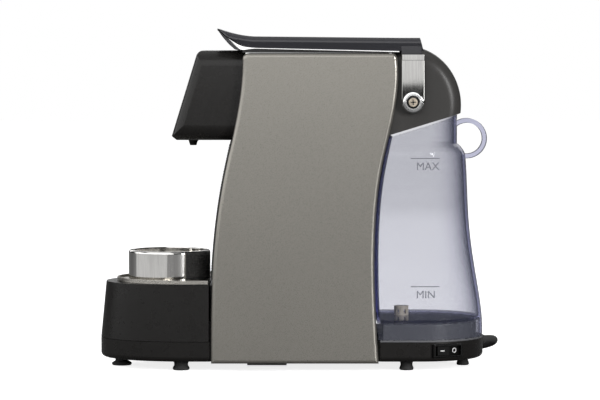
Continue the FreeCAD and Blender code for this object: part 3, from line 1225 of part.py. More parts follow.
# ---------------------------------------------------------------- the whole machine
def all_parts():
    near = side_panel()
    return {
        "rubber_feet": rubber_feet(),
        "base_pan": base_pan(),
        "front_deck": front_deck(),
        "plinth": plinth(),
        "port_seal": port_seal(),
        "core_shell": core_shell(),
        "ribbed_front": ribbed_front(),
        "side_panel_near": near,
        "side_panel_far": near.mirror(V(0, 0, 0), Y),
        "case_screws": case_screws(),
        "top_deck": top_deck(),
        "head_housing": head_housing(),
        "head_front": head_front(),
        "button_small": brew_button(-BUTTON_Y),
        "button_large": brew_button(BUTTON_Y),
        "button_board": button_board(),
        "spout": spout(),
        "coffee_duct": coffee_duct(),
        "brew_chassis": brew_chassis(),
        "extraction_plate": extraction_plate(),
        "brew_carriage": brew_carriage(),
        "piercing_pins": piercing_pins(),
        "carriage_racks": carriage_racks(),
        "hot_hose": hot_hose(),
        "sector_gears": sector_gears(),
        "lever_axle": lever_axle(),
        "axle_bushes": axle_bushes(),
        "lever_frame": lever_frame(),
        "lever_cover": lever_cover(),
        "pivot_screws": pivot_screws(),
        "rear_dome": rear_dome(),
        "dome_floor": dome_floor(),
        "water_tank": water_tank(),
        "tank_valve_body": tank_valve_body(),
        "tank_poppet": tank_poppet(),
        "tank_valve_spring": tank_valve_spring(),
        "drip_tray": drip_tray(),
        "pod_bin": pod_bin(),
        "drip_grid": drip_grid(),
        "cup_ring": cup_ring(),
        "cup_grid": cup_grid(),
        "pump_body": pump_body(),
        "pump_coil": pump_coil(),
        "pump_yoke": pump_yoke(),
        "pump_mounts": pump_mounts(),
        "pump_plunger": pump_plunger(),
        "pump_spring": pump_spring(),
        "flow_meter": flow_meter(),
        "flow_rotor": flow_rotor(),
        "supply_hoses": supply_hoses(),
        "heater_block": heater_block(),
        "thermostats": thermostats(),
        "control_board": control_board(),
        "switch_housing": switch_housing(),
        "switch_rocker": switch_rocker(),
        "strain_relief": strain_relief(),
        "cord_lead": cord_tube(CORD_POINTS, "cord_lead"),
        "cord_coil": cord_coil(),
        "cord_tie": cord_tie(),
        "plug": plug(),
    }


for node, shape in all_parts().items():
    shape.exportStep("parts/" + node + ".step")
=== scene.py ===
"""Looks of a slim pod coffee machine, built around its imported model."""
import json
import math

import bmesh
import bpy
import numpy as np
from bpy.props import FloatProperty, FloatVectorProperty, PointerProperty
from mathutils.bvhtree import BVHTree
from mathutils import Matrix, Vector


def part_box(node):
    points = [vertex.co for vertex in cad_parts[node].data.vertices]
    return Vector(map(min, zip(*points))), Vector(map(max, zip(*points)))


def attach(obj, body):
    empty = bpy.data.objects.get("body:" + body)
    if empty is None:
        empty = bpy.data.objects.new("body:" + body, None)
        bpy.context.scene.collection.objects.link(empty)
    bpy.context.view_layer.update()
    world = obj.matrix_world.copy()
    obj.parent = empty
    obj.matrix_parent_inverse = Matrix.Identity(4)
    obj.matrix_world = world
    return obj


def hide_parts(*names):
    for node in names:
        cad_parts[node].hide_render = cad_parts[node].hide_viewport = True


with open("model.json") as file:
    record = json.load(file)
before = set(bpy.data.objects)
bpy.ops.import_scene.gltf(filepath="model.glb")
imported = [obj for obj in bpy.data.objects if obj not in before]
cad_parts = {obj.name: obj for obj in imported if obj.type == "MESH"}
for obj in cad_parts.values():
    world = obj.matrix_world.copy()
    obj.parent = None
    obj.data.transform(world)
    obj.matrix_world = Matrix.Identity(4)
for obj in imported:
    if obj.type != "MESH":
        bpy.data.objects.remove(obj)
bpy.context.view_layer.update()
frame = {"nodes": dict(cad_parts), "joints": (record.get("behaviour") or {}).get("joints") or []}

bl_info = {
    "name": "Pod coffee machine",
    "version": (1, 0, 0),
    "blender": (4, 5, 0),
    "location": "3D View > Sidebar > Coffee machine",
    "description": "Builds the looks of a pod coffee machine around its packed model",
    "category": "Object",
}

MM = 0.001


# ---------------------------------------------------------------- values a user may change
def length(name, description, default_mm):
    """A length that a user may change, given in millimetres."""
    return FloatProperty(
        name=name, description=description, default=default_mm * MM, min=0.0, unit="LENGTH", precision=4)


def colour(name, description, default):
    """A colour that a user may change."""
    return FloatVectorProperty(
        name=name, description=description, default=default, size=3, min=0.0, max=1.0, subtype="COLOR")


class MachineSizes(bpy.types.PropertyGroup):
    """Small radii and thicknesses of the pieces that are shaped here."""
    lever_edge: length("Lever edge radius", "Rounding along the lever cover's two upper edges", 5.2)
    lever_wall: length("Lever wall", "Thickness of the lever cover", 2.5)
    ring_lip: length("Cup ring lip radius", "Rounding of the cup ring's upper edge", 2.4)
    plate_edge: length("Bright plate edge radius", "Rounding of the lever arms' edges", 0.9)
    cord_width: length("Cord diameter", "Diameter of the mains cord", 7.0)
    mark_height: length("Level mark height", "How far the tank's marks stand out", 0.25)


class MachineColours(bpy.types.PropertyGroup):
    """Colours of the machine's finishes."""
    panel: colour("Side panel", "Satin metallic paint of the side panels", (0.272, 0.26, 0.234))
    black: colour("Black moulding", "Satin black plastic of the base, head and dome", (0.010, 0.0093, 0.0088))
    gloss: colour("Gloss black", "Polished black plastic of the lever and switch", (0.004, 0.004, 0.004))
    bright: colour("Bright metal", "Polished metal of the lever's arms and the cup ring", (0.74, 0.73, 0.71))
    plate: colour("Plate steel", "Brushed steel of the grids", (0.50, 0.48, 0.44))
    tank: colour("Tank tint", "What is left of white light after a long way in the tank's wall",
                 (0.10, 0.12, 0.62))
    cord: colour("Cord", "Vinyl of the mains cord and plug", (0.016, 0.016, 0.017))


class StageValues(bpy.types.PropertyGroup):
    """Camera and lights."""
    camera_away: length("Camera distance", "From the machine's middle plane to the camera", 2850.0)
    camera_high: length("Camera height", "Camera above the floor", 298.0)
    look_high: length("Aim height", "Height above the floor that the camera aims at", 153.9)
    look_x: FloatProperty(name="Aim sideways", description="Place along the machine that the camera aims at",
                          default=6.2 * MM, unit="LENGTH", precision=4)
    focal: FloatProperty(name="Focal length", description="Focal length on a 36 mm sensor",
                         default=184.0, unit="CAMERA")
    front: FloatProperty(name="Front light", description="Power of the large light in front, on the left",
                         default=80.0, unit="POWER")
    side: FloatProperty(name="Side light", description="Power of the light beside the cup",
                        default=14.0, unit="POWER")
    rear: FloatProperty(name="Rear light", description="Power of the light on the tank's side",
                        default=70.0, unit="POWER")
    far: FloatProperty(name="Far light", description="Power of the weak light behind, on the far side",
                       default=22.0, unit="POWER")
    cup: FloatProperty(name="Cup light", description="Power of the low light that the cup ring mirrors",
                       default=0.24, unit="POWER")
    overhead: FloatProperty(name="Overhead", description="Strength of the even light from above", default=0.9,
                            min=0.0)
    sky: FloatProperty(name="Surround", description="Strength of the surround's light", default=0.05, min=0.0)


# ---------------------------------------------------------------- shaders
class Value:
    """An output socket of a material's nodes; arithmetic on it adds Math nodes."""

    def __init__(self, shader, socket):
        self.shader = shader
        self.socket = socket

    def _math(self, operation, first, second):
        return self.shader.node("ShaderNodeMath", {"operation": operation}, {0: first, 1: second})

    def __add__(self, other):
        return self._math("ADD", self, other)

    __radd__ = __add__

    def __sub__(self, other):
        return self._math("SUBTRACT", self, other)

    def __rsub__(self, other):
        return self._math("SUBTRACT", other, self)

    def __mul__(self, other):
        return self._math("MULTIPLY", self, other)

    __rmul__ = __mul__

    def __pow__(self, other):
        return self._math("POWER", self, other)

    def __rpow__(self, other):
        return self._math("POWER", other, self)


class Shader:
    """One material under construction."""

    def __init__(self, name):
        self.material = bpy.data.materials.new(name)
        self.material.use_nodes = True
        self.tree = self.material.node_tree
        self.tree.nodes.clear()

    def node(self, kind, settings=None, inputs=None, output=0):
        """Adds a node, gives it its settings, then the values or links of its sockets."""
        made = self.tree.nodes.new(kind)
        for key, value in (settings or {}).items():
            if key == "stops":
                self._stops(made.color_ramp, value)
            else:
                setattr(made, key, value)
        for key, value in (inputs or {}).items():
            if isinstance(value, Value):
                self.tree.links.new(value.socket, made.inputs[key])
            else:
                made.inputs[key].default_value = value
        return Value(self, made.outputs[output])

    def _stops(self, ramp, stops):
        """Sets a colour ramp's two stops, each a place and a grey."""
        for element, (place, grey) in zip(ramp.elements, stops):
            element.position = place
            element.color = (grey, grey, grey, 1.0)

    def place(self, stretch=(1.0, 1.0, 1.0)):
        """Object coordinates in metres, stretched along each axis."""
        where = self.node("ShaderNodeTexCoord", output=3)
        return self.node("ShaderNodeMapping", {}, {"Vector": where, "Scale": stretch})

    def noise(self, size, detail=3.0, stretch=(1.0, 1.0, 1.0), rough=0.5):
        """Cloudy values about 0.5, whose patches are about size metres across."""
        return self.node("ShaderNodeTexNoise", {}, {
            "Vector": self.place(stretch), "Scale": 1.0 / size, "Detail": detail, "Roughness": rough})

    def spread(self, value, low, high):
        """Maps the middle of a noise's range onto low to high."""
        return self.node("ShaderNodeMapRange", {"interpolation_type": "SMOOTHSTEP"}, {
            0: value, 1: 0.3, 2: 0.7, 3: low, 4: high})

    def tint(self, rgb, amount):
        """A colour that an amount of 0 to 1 makes darker or lighter by a tenth or so."""
        dark = tuple(c * 0.86 for c in rgb) + (1.0,)
        light = tuple(min(1.0, c * 1.12) for c in rgb) + (1.0,)
        return self.node("ShaderNodeMix", {"data_type": "RGBA"}, {0: amount, 6: dark, 7: light}, output=2)

    def surface(self, links, constants, height, depth):
        """Closes the material with a Principled shader, bumped by a height over depth metres."""
        bump = self.node("ShaderNodeBump", {}, {"Height": height, "Distance": depth, "Strength": 1.0})
        shaded = self.node("ShaderNodeBsdfPrincipled", {}, {**constants, **links, "Normal": bump})
        self.close(shaded)
        return self.material

    def close(self, shaded, volume=None):
        """Links the material's surface, and what fills it if that is given."""
        end = self.tree.nodes.new("ShaderNodeOutputMaterial")
        self.tree.links.new(shaded.socket, end.inputs["Surface"])
        if volume is not None:
            self.tree.links.new(volume.socket, end.inputs["Volume"])


def moulded(name, rgb, rough, grain=0.0005, depth=0.00003, coat=0.0):
    """Moulded plastic: slow change of tone, fine spark-eroded grain, faint handling marks in its sheen."""
    s = Shader(name)
    slow = s.noise(0.045, 3.0)
    marks = s.noise(0.012, 5.0, rough=0.65)
    return s.surface(
        {"Base Color": s.tint(rgb, s.spread(slow, 0.2, 0.8)),
         "Roughness": s.spread(marks, rough * 0.72, rough * 0.9)},
        {"Coat Weight": coat, "Coat Roughness": 0.06, "Specular IOR Level": 0.22},
        s.noise(grain, 2.0), depth)


def polished_plastic(name, rgb, rough=0.09):
    """Gloss plastic: nearly a mirror, with very slow waves and faint wiping marks."""
    s = Shader(name)
    wipes = s.noise(0.006, 4.0, (0.25, 1.0, 1.0), 0.7)
    return s.surface(
        {"Base Color": s.tint(rgb, s.noise(0.03, 2.0)),
         "Roughness": s.spread(wipes, rough * 0.7, rough * 1.5)},
        {"IOR": 1.34}, s.noise(0.02, 1.0), 0.00002)


def panel_paint(name, rgb):
    """Satin metallic paint on sheet: flakes as fine sparkle in tone and sheen, over slow orange peel."""
    s = Shader(name)
    flakes = s.noise(0.00035, 1.0)
    drift = s.noise(0.08, 2.0)
    tone = s.spread(flakes, 0.25, 0.75) * 0.7 + drift * 0.3
    return s.surface(
        {"Base Color": s.tint(rgb, tone), "Roughness": s.spread(flakes, 0.27, 0.33)},
        {"Metallic": 0.7, "Specular IOR Level": 0.3},
        s.noise(0.0022, 2.0), 0.00001)


def brushed_metal(name, rgb, rough, along, depth=0.00001):
    """Brushed metal: streaks drawn out along one axis change its tone, sheen and height."""
    s = Shader(name)
    stretch = tuple(0.02 if axis == along else 1.0 for axis in "XYZ")
    streaks = s.noise(0.0006, 3.0, stretch, 0.6)
    broad = s.noise(0.02, 3.0)
    return s.surface(
        {"Base Color": s.tint(rgb, s.spread(streaks, 0.1, 0.9)),
         "Roughness": s.spread(streaks, rough * 0.8, rough * 1.25) + broad * 0.03},
        {"Metallic": 1.0}, streaks, depth)


def polished_metal(name, rgb, rough=0.07):
    """Polished metal: mirror-like, with fine hairlines and a few duller touches."""
    s = Shader(name)
    hairs = s.noise(0.0012, 4.0, (0.08, 0.3, 1.0), 0.7)
    touches = s.noise(0.009, 4.0, rough=0.7)
    return s.surface(
        {"Base Color": s.tint(rgb, s.spread(touches, 0.35, 0.65)),
         "Roughness": s.spread(touches, rough * 0.7, rough * 1.8)},
        {"Metallic": 1.0}, hairs, 0.000004)


def soft_rubber(name, rgb, rough=0.75):
    """Rubber or vinyl: dull, with a dusty bloom in patches and a fine skin."""
    s = Shader(name)
    bloom = s.noise(0.008, 4.0, rough=0.6)
    return s.surface(
        {"Base Color": s.tint(rgb, s.spread(bloom, 0.0, 1.0)),
         "Roughness": s.spread(bloom, rough * 0.88, min(1.0, rough * 1.12))},
        {"Specular IOR Level": 0.4}, s.noise(0.0007, 2.0), 0.00004)


def laminate(name, rgb):
    """Circuit board: lacquer over woven glass, with fine copper tracks that show as lighter lines."""
    s = Shader(name)
    weave = s.node("ShaderNodeTexWave", {"wave_profile": "SIN"}, {
        "Vector": s.place(), "Scale": 180.0, "Distortion": 6.0, "Detail": 2.0}, output=1)
    tracks = s.node("ShaderNodeValToRGB", {"stops": [(0.45, 0.0), (0.55, 1.0)]}, {0: weave})
    return s.surface(
        {"Base Color": s.tint(rgb, tracks), "Roughness": s.spread(weave, 0.25, 0.4)},
        {"Coat Weight": 0.3}, weave, 0.00002)


def clear_plastic(name, tint):
    """Clear wall: see-through where faced, darker and glossier at grazing angles, and bluer the further
    light goes inside it."""
    s = Shader(name)
    grazing = s.node("ShaderNodeLayerWeight", {}, {"Blend": 0.5}, output=1)
    clouds = s.noise(0.03, 3.0)
    shaded = s.node("ShaderNodeBsdfPrincipled", {}, {
        "Base Color": (0.09, 0.097, 0.125, 1.0), "IOR": 1.5,
        "Roughness": s.spread(clouds, 0.03, 0.06), "Alpha": grazing**3.0 * 0.75 + 0.17})
    inside = s.node("ShaderNodeVolumeAbsorption", {}, {"Color": (*tint, 1.0), "Density": 28.0})
    s.close(shaded, inside)
    return s.material


def finishes(colours):
    """Every material of the machine, by its name."""
    black, bright = tuple(colours.black), tuple(colours.bright)
    gloss, cord = tuple(colours.gloss), tuple(colours.cord)
    return {
        "satin_black": moulded("satin_black", black, 0.36),
        "head_black": moulded("head_black", tuple(c * 1.1 for c in black), 0.33, coat=0.08),
        "inner_grey": moulded("inner_grey", (0.05, 0.05, 0.052), 0.5),
        "plinth_grey": moulded("plinth_grey", (0.11, 0.112, 0.12), 0.32),
        "gloss_black": polished_plastic("gloss_black", gloss),
        "dome_black": moulded("dome_black", (0.04, 0.0385, 0.037), 0.42),
        "panel_paint": panel_paint("panel_paint", tuple(colours.panel)),
        "rib_trim": moulded("rib_trim", (0.035, 0.035, 0.035), 0.34),
        "bright_metal": polished_metal("bright_metal", bright, 0.09),
        "arm_metal": brushed_metal("arm_metal", (0.29, 0.287, 0.28), 0.02, "Z", 0.000001),
        "ring_metal": brushed_metal("ring_metal", (0.78, 0.77, 0.75), 0.07, "Z", 0.000002),
        "grid_steel": brushed_metal("grid_steel", tuple(colours.plate), 0.26, "X"),
        "steel": brushed_metal("steel", (0.52, 0.50, 0.48), 0.3, "Y"),
        "warm_steel": polished_metal("warm_steel", (0.60, 0.52, 0.42), 0.16),
        "cast_metal": brushed_metal("cast_metal", (0.45, 0.45, 0.45), 0.5, "X", 0.00003),
        "soft_black": soft_rubber("soft_black", (0.022, 0.022, 0.022)),
        "hose": soft_rubber("hose", (0.55, 0.54, 0.50), 0.45),
        "nylon": moulded("nylon", (0.62, 0.60, 0.54), 0.42),
        "cream": moulded("cream", (0.66, 0.60, 0.48), 0.40),
        "dark_inner": moulded("dark_inner", (0.07, 0.07, 0.075), 0.45),
        "board": laminate("board", (0.03, 0.17, 0.07)),
        "tank_clear": clear_plastic("tank_clear", tuple(colours.tank)),
        "cord_black": soft_rubber("cord_black", cord, 0.42),
        "mark_grey": moulded("mark_grey", (0.16, 0.165, 0.19), 0.7),
        "mark_white": moulded("mark_white", (0.75, 0.75, 0.75), 0.45),
    }


# ---------------------------------------------------------------- surfaces
MERGE = 1e-6         # points closer than this are one point
FLAT_WEIGHT = 95     # how far large faces set the shading of their rounded rims


def quads(rows, cols, wrap_rows=False, wrap_cols=False):
    """Faces between neighbouring points of a rows by cols grid, going round where it wraps."""
    i = np.arange(rows if wrap_rows else rows - 1)[:, None]
    j = np.arange(cols if wrap_cols else cols - 1)[None, :]
    i2, j2 = (i + 1) % rows, (j + 1) % cols
    corners = [i * cols + j, i2 * cols + j, i2 * cols + j2, i * cols + j2]
    return np.stack(np.broadcast_arrays(*corners), -1).reshape(-1, 4).tolist()


def piece(name, points, faces, body, slot, material, replaces=(), sharp=35.0):
    """Makes a closed mesh piece: doubles merged, faces outwards, smooth but for edges over sharp degrees."""
    mesh = bpy.data.meshes.new(name)
    mesh.from_pydata(np.asarray(points, float).reshape(-1, 3).tolist(), [], faces)
    shape = bmesh.new()
    shape.from_mesh(mesh)
    bmesh.ops.remove_doubles(shape, verts=shape.verts, dist=MERGE)
    bmesh.ops.recalc_face_normals(shape, faces=shape.faces)
    shape.to_mesh(mesh)
    shape.free()
    mesh.polygons.foreach_set("use_smooth", np.ones(len(mesh.polygons), bool))
    mesh.set_sharp_from_angle(angle=math.radians(sharp))
    made = bpy.data.objects.new(name, mesh)
    bpy.context.scene.collection.objects.link(made)
    mesh.materials.append(bpy.data.materials[material])
    even = made.modifiers.new("even_normals", "WEIGHTED_NORMAL")
    even.keep_sharp = True
    even.weight = FLAT_WEIGHT
    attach(made, body)
    if replaces:
        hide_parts(*replaces)
    return made


def turned(profile, origin, axis=(0, 0, 1), steps=128, closed=True):
    """Points (r, h) of a profile turned round an axis: origin + h axis + r (cos a side + sin a other)."""
    axis = np.asarray(axis, float) / np.linalg.norm(axis)
    side = np.cross(axis, (0, 0, 1) if abs(axis[2]) < 0.9 else (1, 0, 0))
    side /= np.linalg.norm(side)
    other = np.cross(axis, side)
    angle = np.linspace(0, 2 * np.pi, steps, endpoint=False)[:, None, None]
    r, h = profile[None, :, 0, None], profile[None, :, 1, None]
    points = np.asarray(origin, float) + h * axis + r * (np.cos(angle) * side + np.sin(angle) * other)
    return points.reshape(-1, 3), quads(steps, len(profile), True, closed)


def arc(centre, radius, start, end, steps=8):
    """Points on an arc from start to end degrees."""
    angle = np.radians(np.linspace(start, end, steps))
    return np.stack([centre[0] + radius * np.cos(angle), centre[1] + radius * np.sin(angle)], 1)


def flowing(points, each=10):
    """A smooth line through points: on each span, a cubic whose end slopes follow the neighbours."""
    p = np.asarray(points, float)
    before, after = np.vstack([p[:1], p[:-2]]), np.vstack([p[2:], p[-1:]])
    t = np.linspace(0, 1, each, endpoint=False)[None, :, None]
    a, b = p[:-1, None], p[1:, None]
    slope_a, slope_b = (b - before[:, None]) / 2, (after[:, None] - a) / 2
    line = (2 * t**3 - 3 * t**2 + 1) * a + (t**3 - 2 * t**2 + t) * slope_a \
        + (3 * t**2 - 2 * t**3) * b + (t**3 - t**2) * slope_b
    return np.vstack([line.reshape(-1, p.shape[1]), p[-1:]])


def inset(outline, depth):
    """Every point of a closed outline moved inwards by depth, along the mean of its two edges' normals."""
    edge = np.roll(outline, -1, 0) - outline
    edge /= np.maximum(np.linalg.norm(edge, axis=1, keepdims=True), 1e-12)
    normal = np.stack([-edge[:, 1], edge[:, 0]], 1)
    last = np.roll(normal, 1, 0)
    lean = 1 + (normal * last).sum(1, keepdims=True)
    return outline + depth * (normal + last) / np.maximum(lean, 0.4)


def plate(outline, near, far, edge, steps=5):
    """An (x, z) outline carried from y near to y far, its rims rounded by quarter circles of radius edge."""
    turn = np.linspace(0, np.pi / 2, steps)
    sinks = edge * (1 - np.sin(turn))
    rises = edge * (1 - np.cos(turn))
    rings = [(sink, near + rise) for sink, rise in zip(sinks, rises)]
    rings += [(sink, far - rise) for sink, rise in zip(sinks[::-1], rises[::-1])]
    count = len(outline)
    layers = []
    for sink, y in rings:
        flat = inset(outline, sink)
        layers.append(np.stack([flat[:, 0], np.full(count, y), flat[:, 1]], 1))
    faces = quads(len(rings), count, False, True)
    faces.append(list(range(count)))
    faces.append(list(range((len(rings) - 1) * count, len(rings) * count)))
    return np.vstack(layers), faces


def mirrored(points, faces):
    """The shape and its mirror image across the middle plane."""
    points = np.asarray(points)
    other = points * (1, -1, 1)
    return np.vstack([points, other]), faces + [[i + len(points) for i in face[::-1]] for face in faces]


def together(*shapes):
    """Several (points, faces) as one."""
    points, faces, start = [], [], 0
    for some, their in shapes:
        points.append(some)
        faces += [[i + start for i in face] for face in their]
        start += len(some)
    return np.vstack(points), faces


# ---------------------------------------------------------------- the machine's pieces
def machine(context):
    """The sizes that a user may change."""
    return context.scene.machine_sizes


class MACHINE_OT_finishes(bpy.types.Operator):
    """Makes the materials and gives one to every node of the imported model"""
    bl_idname = "machine.finishes"
    bl_label = "Finishes"

    WEARS = {
        "satin_black": ["base_pan", "drip_tray", "top_deck", "spout"],
        "dome_black": ["rear_dome"],
        "head_black": ["head_housing"],
        "inner_grey": ["front_deck", "core_shell", "dome_floor", "pod_bin"],
        "plinth_grey": ["plinth"],
        "gloss_black": ["head_front", "lever_cover", "switch_housing", "switch_rocker"],
        "panel_paint": ["side_panel_near", "side_panel_far"],
        "rib_trim": ["ribbed_front"],
        "bright_metal": ["lever_frame", "button_small", "button_large"],
        "ring_metal": ["cup_ring"],
        "grid_steel": ["drip_grid", "cup_grid"],
        "steel": ["case_screws", "lever_axle", "piercing_pins", "tank_valve_spring", "pump_spring",
                  "pump_plunger", "pump_yoke"],
        "warm_steel": ["pivot_screws"],
        "cast_metal": ["brew_chassis", "extraction_plate", "heater_block", "thermostats"],
        "soft_black": ["rubber_feet", "port_seal", "pump_mounts", "strain_relief", "cord_tie"],
        "hose": ["hot_hose", "supply_hoses"],
        "nylon": ["sector_gears", "carriage_racks", "axle_bushes", "coffee_duct", "flow_meter", "flow_rotor"],
        "cream": ["tank_valve_body", "tank_poppet", "pump_body"],
        "dark_inner": ["brew_carriage", "pump_coil"],
        "board": ["button_board", "control_board"],
        "tank_clear": ["water_tank"],
        "cord_black": ["cord_lead", "cord_coil", "plug"],
    }

    def execute(self, context):
        made = finishes(context.scene.machine_colours)
        for finish, nodes in self.WEARS.items():
            for node in nodes:
                wearer = frame["nodes"][node].data
                wearer.materials.clear()
                wearer.materials.append(made[finish])
        return {"FINISHED"}


class MACHINE_OT_cup_ring(bpy.types.Operator):
    """Bright cup ring: a turned wall with a rolled lip, a step inside and a ledge for its grid"""
    bl_idname = "machine.cup_ring"
    bl_label = "Cup ring"

    WALL = 2.0 * MM
    STEP = 4.0 * MM
    FOOT_ROUND = 0.4 * MM
    INNER_ROUND = 0.8 * MM

    def execute(self, context):
        low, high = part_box("cup_ring")
        middle = (low + high) / 2
        grid_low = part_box("cup_grid")[0].z
        r, lip = (high.x - low.x) / 2, machine(context).ring_lip
        wall, step, foot, inner = self.WALL, self.STEP, self.FOOT_ROUND, self.INNER_ROUND
        profile = np.vstack([
            [(r - wall, low.z), (r - foot, low.z), (r, low.z + foot)],
            arc((r - lip, high.z - lip), lip, 0, 90, 10),
            arc((r - step + inner, high.z - inner), inner, 90, 180, 6),
            [(r - step, high.z - step), (r - wall, high.z - step), (r - wall, grid_low),
             (r - 3 * wall, grid_low), (r - 3 * wall, grid_low - wall), (r - wall, grid_low - wall)],
        ])
        points, faces = turned(profile, (middle.x, middle.y, 0.0), steps=160)
        piece("cup_stand_ring", points, faces, "cup_stand", "bright_metal", "ring_metal", ["cup_ring"])
        return {"FINISHED"}


class MACHINE_OT_lever(bpy.types.Operator):
    """Lever: gloss cover, bright rails with their leaf-shaped ends, finger blade, arms and bosses"""
    bl_idname = "machine.lever"
    bl_label = "Lever"

    # outlines in (x, z), millimetres
    # outline of the web: a dark sheet that paints the shade seen in the gap under the lever's side
    WEB = [(-46.0, 291.0), (97.0, 290.7), (97.0, 296.0), (-30.0, 297.5), (-46.0, 293.6)]
    CHEEK = [(98.2, 289.4), (116.9, 289.4), (116.2, 297.0), (98.2, 297.0)]
    LEAF_UNDER = [(-36.0, 294.3), (-40.0, 293.9), (-44.5, 293.2), (-48.8, 294.0), (-54.8, 299.2),
                  (-61.5, 305.6), (-68.3, 311.9)]
    LEAF_OVER = [(-68.3, 311.9), (-61.2, 306.2), (-54.0, 301.0), (-47.6, 297.6), (-42.0, 296.2),
                 (-34.0, 295.4)]
    BLADE = [(-68.6, 311.6), (-63.9, 305.0), (-58.4, 298.7), (-53.0, 294.0), (-47.5, 292.6),
             (-46.5, 294.2), (-53.2, 299.4), (-60.0, 305.6), (-66.0, 310.6)]
    # the boss's rings, as radius and depth behind the arm's outer face, millimetres
    BOSS = [(5.9, 2.4), (5.9, 0.25), (6.1, 0.02), (6.9, 0.02), (7.1, 0.3), (7.2, 0.7), (7.5, 0.7),
            (7.7, 0.3), (8.8, 0.3), (9.1, 0.5), (9.3, 0.9), (9.4, 2.4)]
    RAIL = 1.3                # thickness of the rail at its rear end, millimetres
    RAIL_END = (96.0, 291.9)
    ARM_TOP = 289.6 * MM
    BAND_LOW = 284.0 * MM     # lower edge of the raised band across the arm's top
    TIP_FROM = -0.034         # the cover's top starts to rise here, along x
    UNDER_FROM = -0.040       # and its lower edge here
    CORNER = 9 * MM           # radius of the tip's corners in plan
    TUCK = 1.1 * MM           # how far the side's lower edge lies inwards
    REAR_LEAN = 0.27          # slope of the rear end

    def execute(self, context):
        sizes = machine(context)
        self.cover(sizes)
        self.shade_webs_and_cheeks()
        self.rails_and_blade()
        self.arms_and_bosses(sizes)
        return {"FINISHED"}

    def cover(self, sizes):
        """Section by section along x: side, quarter-round edge and flat top outside, the same less the wall
        inside. The top follows a power curve up to the tip, the plan narrows there as a quarter circle."""
        low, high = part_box("lever_cover")
        edge, wall = sizes.lever_edge, sizes.lever_wall
        side_low = low.z - 2.2 * MM
        back = np.array([0.0, 0.02, 2.48, 2.5]) * MM
        x = np.concatenate([high.x - back, np.linspace(high.x - 4 * MM, high.x - 20 * MM, 5),
                            np.linspace(0.09, -0.034, 26), np.linspace(-0.036, low.x + 0.6 * MM, 34),
                            low.x + np.array([0.35, 0.15, 0.0]) * MM])
        rise = np.clip((self.TIP_FROM - x) / (self.TIP_FROM - low.x), 0, 1)
        along = np.clip((x + 0.044) / 0.142, 0, 1)
        top = low.z + (11.3 - 1.4 * along) * MM
        z_top = top + (high.z - top) * rise**1.75
        z_low = low.z + (1.2 - 3.4 * along) * MM
        under = np.clip((self.UNDER_FROM - x) / (self.UNDER_FROM - low.x), 0, 1)
        z_low += (high.z - 1.6 * MM - z_low) * under**1.35
        z_low = np.minimum(z_low, z_top - 1.2 * MM * np.clip((x - low.x) / 1e-3, 0.3, 1))
        nose = np.clip((self.CORNER - (x - low.x)) / self.CORNER, 0, 1)
        half = high.y - self.CORNER * (1 - np.sqrt(1 - nose**2)) * 0.999
        turn = np.linspace(0, np.pi / 2, 9)
        across, up = np.sin(turn), np.cos(turn)
        radius = np.minimum(edge, (z_top - z_low) * 0.9)[:, None]
        side_y = half[:, None] - radius * (1 - up[None, :])
        side_z = z_top[:, None] - radius * (1 - across[None, :])
        outer_y = np.hstack([half[:, None] - self.TUCK, side_y, side_y[:, -1:] * np.array([[0.6, 0.2]])])
        outer_z = np.hstack([z_low[:, None], side_z, np.repeat(z_top[:, None], 2, 1)])
        roof = np.maximum(z_top - wall, z_low)
        roof = np.where(x > high.x - wall + 0.01 * MM, np.minimum(roof, low.z + 3.6 * MM), roof)
        inner_half = np.maximum(half - wall, 1 * MM)
        inner_y = np.stack([inner_half, inner_half, inner_half * 0.97, inner_half * 0.6, inner_half * 0.2], 1)
        inner_z = np.stack([z_low, (z_low + roof) / 2, roof, roof, roof], 1)
        loop_y = np.hstack([outer_y, -outer_y[:, ::-1], -inner_y, inner_y[:, ::-1]])
        loop_z = np.hstack([outer_z, outer_z[:, ::-1], inner_z, inner_z[:, ::-1]])
        lean = self.REAR_LEAN * np.clip((x[:, None] - 0.09) / 0.028, 0, 1) * (loop_z - side_low)
        count = loop_y.shape[1]
        points = np.stack([x[:, None] - np.maximum(lean, 0), loop_y, loop_z], -1)
        faces = quads(len(x), count, False, True)
        outer = outer_y.shape[1] * 2
        inner = count - outer
        pairs = np.round(np.linspace(0, inner - 1, outer)).astype(int)
        for start in (0, (len(x) - 1) * count):
            for i in range(outer - 1):
                a, b = start + count - 1 - pairs[i], start + count - 1 - pairs[i + 1]
                faces.append([start + i, start + i + 1, b] + ([a] if a != b else []))
        piece("lever_shell", points, faces, "lever", "gloss_black", "gloss_black", ["lever_cover"], sharp=28)

    def shade_webs_and_cheeks(self):
        """Outlines carried across: an upright matte black web under each side wall, a dark sheet that paints
        the shade in the gap between the lever's rail and the side panel, and a cheek over each arm's top.
        """
        low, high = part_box("lever_cover")
        # the webs wear matte black, so they paint the gap under the lever's sides as black shade
        web = plate(np.array(self.WEB) * MM, low.y + 3.4 * MM, low.y + 5.0 * MM, 0.3 * MM)
        piece("lever_webs", *mirrored(*web), "lever", "gloss_black", "soft_black")
        cheek = plate(np.array(self.CHEEK) * MM, -high.y, -high.y + 2.4 * MM, 0.5 * MM)
        piece("lever_cheeks", *mirrored(*cheek), "lever", "gloss_black", "gloss_black")

    def rails_and_blade(self):
        """Outlines carried across: a half-round ended rail that opens into a leaf each side, and the finger
        blade between the leaves."""
        low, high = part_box("lever_frame")
        leaf_over = flowing(self.LEAF_OVER, 6)
        outline = np.vstack([arc(self.RAIL_END, self.RAIL / 2, 90, -90, 7), flowing(self.LEAF_UNDER, 6),
                             leaf_over[1:]]) * MM
        rails = plate(outline[::-1], low.y + 0.7 * MM, low.y + 5.2 * MM, 0.45 * MM)
        piece("lever_rails", *mirrored(*rails), "lever", "bright_metal", "bright_metal", ["lever_frame"])
        blade = plate(np.array(self.BLADE) * MM, low.y + 1.5 * MM, high.y - 1.5 * MM, 0.4 * MM)
        piece("lever_blade", *blade, "lever", "bright_metal", "gloss_black")

